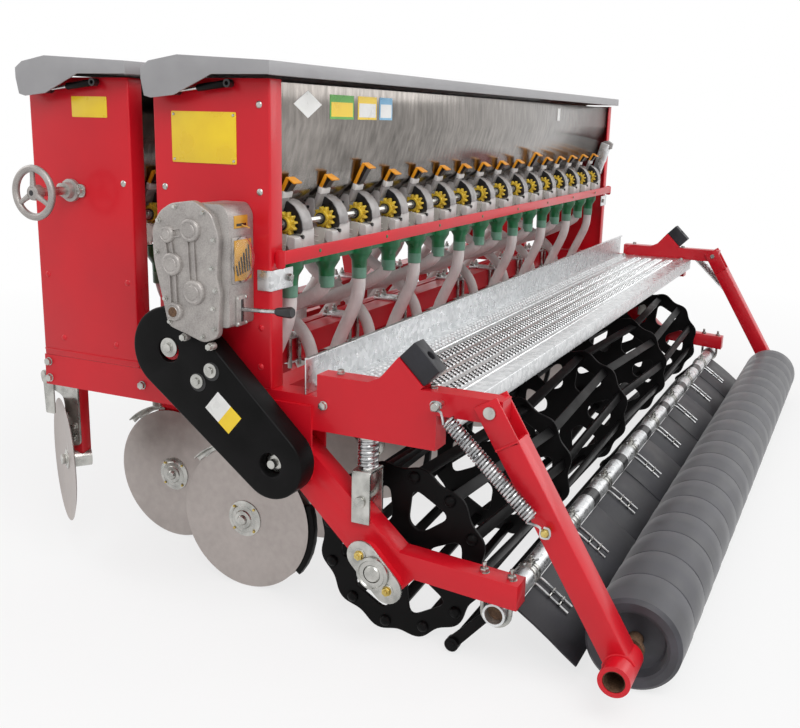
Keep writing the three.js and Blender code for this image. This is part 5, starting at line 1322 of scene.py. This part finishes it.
# ------------------------------------------------------------------ press roller
PRESS_RUN = Vector((0, PRESS[0] - PRESS_PIVOT[0], PRESS[1] - PRESS_PIVOT[1]))
PRESS_ALONG = PRESS_RUN.normalized()
PRESS_ACROSS = Vector((0, -PRESS_ALONG.z, PRESS_ALONG.y))


def on_press_arm(x, along, across=0.0):
    """A point along the press arm from its hinge, and across it, at width x."""
    return Vector((x, *PRESS_PIVOT)) + PRESS_ALONG * along + PRESS_ACROSS * across


class DRILL_OT_press(bpy.types.Operator):
    """Hinged press roller with its frame, springs and rubber stops"""
    bl_idname = "drill.press"
    bl_label = "Press roller"

    def execute(self, context):
        self.press_frame()
        self.roller(context.scene.drill_sizes.press_rings)
        for hand, side in HANDS:
            self.spring(hand, side)
            self.stop(hand, side)
        return {"FINISHED"}

    def press_frame(self):
        press, reach = Piece(), PRESS_RUN.length
        for _, side in HANDS:
            outer, inner = side * (HALF + 7), side * (HALF - 52)

            def plate_at(points, x0, x1, edge):
                outline = [(p.y, p.z) for p in (on_press_arm(0, s, t) for s, t in points)]
                press.add(slab(outline, "x", x0, x1, edge=edge), "red")

            cheek = [(-20, 25), (-20, -25), (74, -25), (66, 25)]
            plate_at(cheek, outer, outer - side * 5, 1.2)
            plate_at(cheek, inner, inner + side * 5, 1.2)
            plate_at([(66, 25), (66, -25), (reach - 14, -25), (reach - 14, 25)], outer, inner, 4)
            for x in (outer, inner):
                bead = [on_press_arm(x, 68, t) for t in (-24, -12, 0, 12, 24)]
                press.add(sweep(bead, 2.4, 8), "red")
            axle = Vector((0, *PRESS))
            tube = turned([(21, 0), (30, 0), (30, 102), (21, 102)], Vector((side * 1248, *PRESS)),
                          X * side, 40)
            press.add(tube, "red")
            press.add(turned([(0.01, 40), (21, 40), (21, 100), (19.5, 101.4), (19, 44), (0.01, 44)],
                             Vector((side * 1248, *PRESS)), X * side, 32), "rust")
            press.add(turned([(22, 102), (29.4, 102), (28, 102.4), (22.5, 102.4)],
                             Vector((side * 1247.5, *PRESS)), X * side, 40), "rust")
            weld = [on_press_arm(0, reach) + Vector((outer - side * 1, 0, 0)) + 31 * (
                PRESS_ALONG * math.cos(a) + PRESS_ACROSS * math.sin(a)) for a in
                (math.radians(90 + 18 * i) for i in range(11))]
            press.add(sweep(weld, 2.6, 8), "red")
            press.add(bar(on_press_arm(outer - side, 0), on_press_arm(inner - side * 5, 0), 8, 24),
                      "plated")
            press.add(bar(on_press_arm(outer, 0), on_press_arm(outer + side * 5, 0), 12, 28, 1.2),
                      "plated")
            pin = on_press_arm(outer - side, SPRING_REACH)
            press.add(bar(pin, pin + X * side * 20, 6, 16), "gold")
            press.add(turned([(0.01, 7), (6, 6), (8.5, 2), (8.5, -2), (6, -6), (0.01, -7)],
                             pin + X * side * 21, X * side, 20), "gold")
            press.add(bar(axle + X * side * 1209, axle + X * side * 1250, 15, 24), "rust")
            press.add(turned([(15, 0), (26, 0), (26, 14), (15, 14)], axle + X * side * 1216,
                             X * side, 28), "rust")
            press.add(bar(axle + Vector((side * 1223, 20, 6)), axle + Vector((side * 1223, 40, 12)),
                          6, 6, 0.8), "plated")
        press.add(bar((-1209, *PRESS), (1209, *PRESS), 15, 24), "rust")
        press.close("press_arm_frame", "press_frame", "red_enamel", ("press_frame",))

    def roller(self, rings):
        roller, half = Piece(), 1208.0
        width = (2 * half - 8) / rings
        profile = [(16, -half + 30), (56, -half + 30), (60, -half + 26), (66, -half + 3),
                   (72, -half), (86, -half), (92, -half + 5)]
        for i in range(rings):
            start = -half + 4 + width * i
            profile += [(91.0, start + 2), (93.2, start + 5), (94.6, start + width * 0.5),
                        (94.9, start + width - 5), (93.6, start + width - 1.5),
                        (90.0, start + width - 0.5)]
        profile += [(92, half - 5), (86, half), (72, half), (66, half - 3), (60, half - 26),
                    (56, half - 30), (16, half - 30)]
        roller.add(turned(profile, (0, *PRESS), X, 72), "rubber")
        roller.close("press_roller_rings", "press_roller", "black_rubber", ("press_roller",),
                     sharp=24)

    def spring(self, hand, side):
        x = side * 1328
        fixed, moving = Vector((x, *SPRING_PIN)), on_press_arm(x, SPRING_REACH)
        along = (moving - fixed).normalized()
        spring = Piece()
        wide = X.cross(along)
        first, last = fixed + along * 34, moving - along * 34
        spring.add(coil(first, last, 12.5, 2.5, 34, 14, 7), "spring")
        for end, away, start in ((fixed, -1, first), (moving, 1, last)):
            hook = [start + wide * 12.5, start + along * away * 8 + wide * 6,
                    end - along * away * 12, end + wide * 10.5, end + along * away * 10.5,
                    end - wide * 10.5, end - along * away * 9 - wide * 6]
            spring.add(sweep(smooth_line(hook, 5), 2.5, 8), "spring")
        piece = spring.close(f"return_spring_{hand}", f"arm_spring_{hand}", "spring_steel",
                             (f"arm_spring_{hand}",))
        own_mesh(piece)
        pin = Piece()
        pin.add(bar((side * 1294, *SPRING_PIN), (x, *SPRING_PIN), 6, 16), "plated")
        head = [(0.01, 8), (7, 7), (10, 3), (10, -2), (6, -7), (0.01, -7)]
        pin.add(turned(head, (side * 1329, *SPRING_PIN), X * side, 24), "plated")
        pin.close(f"spring_pin_{hand}", "frame", "spring_steel")

    def stop(self, hand, side):
        foot, heel = Vector((0, -281, 618)), Vector((0, -333, 567))
        along = (heel - foot).normalized()
        out = Vector((0, along.z, -along.y))
        length = (heel - foot).length
        middle = side * (HALF - 22.5)
        rubber = Piece()
        outline = [(-20, 0), (20, 0), (20, length), (-20, length)]
        shape = slab(outline, "z", 0.3, 45, holes=(circle((0, length / 2), 9, 24),), edge=2.5)
        turn = Matrix((X, along, out)).transposed().to_4x4()
        rubber.add(shape, "curtain", Matrix.Translation(Vector((middle, 0, 0)) + foot) @ turn)
        rubber.add(bar((0, length / 2, 1), (0, length / 2, 16), 8.9, 20), "knob",
                   Matrix.Translation(Vector((middle, 0, 0)) + foot) @ turn)
        rubber.close(f"rubber_block_{hand}", "frame", "black_rubber", (f"rubber_stop_{hand}",))


# ------------------------------------------------------------------ soil curtain
class DRILL_OT_curtain(bpy.types.Operator):
    """Curtain pipe with its clamps and scraper rod, the rubber flaps and their wire forks"""
    bl_idname = "drill.curtain"
    bl_label = "Soil curtain"

    def execute(self, context):
        flaps = context.scene.drill_sizes.curtain_flaps
        width = 2 * CURTAIN_HALF / flaps
        spots = [-CURTAIN_HALF + width * (i + 0.5) for i in range(flaps)]
        self.pipe(spots, width)
        self.sheets(spots, width)
        return {"FINISHED"}

    def pipe(self, spots, width):
        pipe = Piece()
        pipe.add(turned([(18.5, -1290), (23, -1290), (23, 1290), (18.5, 1290)], (0, *PIPE), X, 32),
                 "zinc")
        for _, side in HANDS:
            pipe.add(turned([(0.01, 0), (18.4, 0), (18.4, 40), (0.01, 40)], (side * 1230, *PIPE),
                            X * side, 24), "rust")
            pipe.add(turned([(23, 0), (23.9, 0), (23.9, 46), (23, 46)], (side * 1206, *PIPE),
                            X * side, 32), "knob")
        for i, x in enumerate(spots):
            for dx in (-34, -14):
                pipe.add(turned([(23, -5), (25.6, -5), (26.2, 0), (25.6, 5), (23, 5)],
                                (x + dx, *PIPE), X, 28), "plated")
            ear = (x - 24, PIPE[0] - 6, PIPE[1] + 24)
            pipe.add(block((ear[0] - 14, ear[1] - 7, ear[2]), (ear[0] + 14, ear[1] + 7, ear[2] + 7),
                           2), "plated")
            bolt_on(pipe, (ear[0], ear[1], ear[2] + 7), Z, 11, 5, shank=6)
            pipe.add(bar((ear[0] - 18, ear[1] + 10, ear[2] + 4),
                         (ear[0] + 20, ear[1] - 10, ear[2] + 5), 2.2, 8), "spring")
            if i:
                pipe.add(turned([(23, -26), (23.9, -26), (23.9, 26), (23, 26)],
                                (x - width / 2, *PIPE), X, 28), "knob")
        scraper_y, scraper_z = -385.0, 18.0
        pipe.add(bar((-1240, scraper_y, scraper_z), (1240, scraper_y, scraper_z), 8, 20, 1),
                 "black")
        for x in (-1230, 0, 1230):
            link = [(PIPE[0] + 8, PIPE[1] - 22), (PIPE[0] + 22, PIPE[1] - 10),
                    (scraper_y + 12, scraper_z + 8), (scraper_y + 6, scraper_z - 9),
                    (scraper_y - 10, scraper_z - 6)]
            pipe.add(slab(round_corners(link, 6, 3), "x", x - 4, x + 4, edge=1), "black")
            pipe.add(turned([(8, -9), (15, -9), (15, 9), (8, 9)], (x, scraper_y, scraper_z), X, 20),
                     "black")
        pipe.close("curtain_pipe_clamped", "frame", "galvanised", ("curtain_pipe",))

    def sheets(self, spots, width):
        rubber, wires = Piece(), Piece()
        end = Vector((0, -640, 28)) - Vector((0, *PIPE))
        along = end.normalized()
        up = Vector((0, along.z, -along.y))
        wobble = random.Random(5)
        for i, x in enumerate(spots):
            lift = 0.8 if i % 2 else -1.2
            droop = wobble.uniform(-2.5, 1.5)
            top, under = [], []
            for s, sag in ((24.5, 0), (70, 1.5), (110, 1), (150, -1 + droop * 0.5),
                           (183, -1.5 + droop)):
                point = Vector((0, *PIPE)) + along * s + up * (sag + lift)
                top.append(point + up * 2.2)
                under.append(point - up * 2.2)
            outline = [(p.y, p.z) for p in top + under[::-1]]
            half = width / 2 + (3 if i % 2 else -1)
            rubber.add(slab(outline, "x", max(x - half, -CURTAIN_HALF), min(x + half, CURTAIN_HALF),
                            edge=0.8), "curtain")
            for dx in (-38, -6):
                fork = [(22, 4), (30, 6), (50, 6.5), (112, 6)]
                path = [Vector((x + dx, *PIPE)) + along * s + up * t for s, t in fork]
                wires.add(sweep(smooth_line(path, 4), 2.5, 8), "spring")
            for s in (62, 88):
                middle = Vector((x - 22, *PIPE)) + along * s + up * 8
                wires.add(bar(middle - X * 20, middle + X * 20, 2.4, 6, 0.5), "plated")
                wires.add(bar(middle - up * 4, middle + up * 3, 5, 8, 0.8), "knob")
        rubber.close("rubber_flaps", "frame", "black_rubber", ("soil_curtain",))
        wires.close("flap_forks", "frame", "galvanised")


# ------------------------------------------------------------------ add-on
class DRILL_PT_panel(bpy.types.Panel):
    """Lists the drill's operators and settings in the sidebar"""
    bl_idname = "DRILL_PT_panel"
    bl_label = "Seed drill"
    bl_space_type = "VIEW_3D"
    bl_region_type = "UI"
    bl_category = "Drill"

    def draw(self, context):
        for group in (context.scene.drill_sizes, context.scene.drill_colours):
            for name in group.bl_rna.properties.keys():
                if name not in ("rna_type", "name"):
                    self.layout.prop(group, name)
        for operator in OPERATORS:
            self.layout.operator(operator.bl_idname)


SETTINGS = (DrillSizes, DrillColours)
OPERATORS = (
    DRILL_OT_stage,
    DRILL_OT_frame,
    DRILL_OT_panels,
    DRILL_OT_boxes,
    DRILL_OT_meters,
    DRILL_OT_tubes,
    DRILL_OT_drive,
    DRILL_OT_walkway,
    DRILL_OT_openers,
    DRILL_OT_ridgers,
    DRILL_OT_cage,
    DRILL_OT_press,
    DRILL_OT_curtain,
)


def register():
    for cls in (*SETTINGS, *OPERATORS, DRILL_PT_panel):
        bpy.utils.register_class(cls)
    bpy.types.Scene.drill_sizes = bpy.props.PointerProperty(type=DrillSizes)
    bpy.types.Scene.drill_colours = bpy.props.PointerProperty(type=DrillColours)


def unregister():
    del bpy.types.Scene.drill_colours
    del bpy.types.Scene.drill_sizes
    for cls in reversed((*SETTINGS, *OPERATORS, DRILL_PT_panel)):
        bpy.utils.unregister_class(cls)


def main():
    register()
    for operator in OPERATORS:
        group, name = operator.bl_idname.split(".")
        getattr(getattr(bpy.ops, group), name)()


if __name__ == "__main__":
    main()
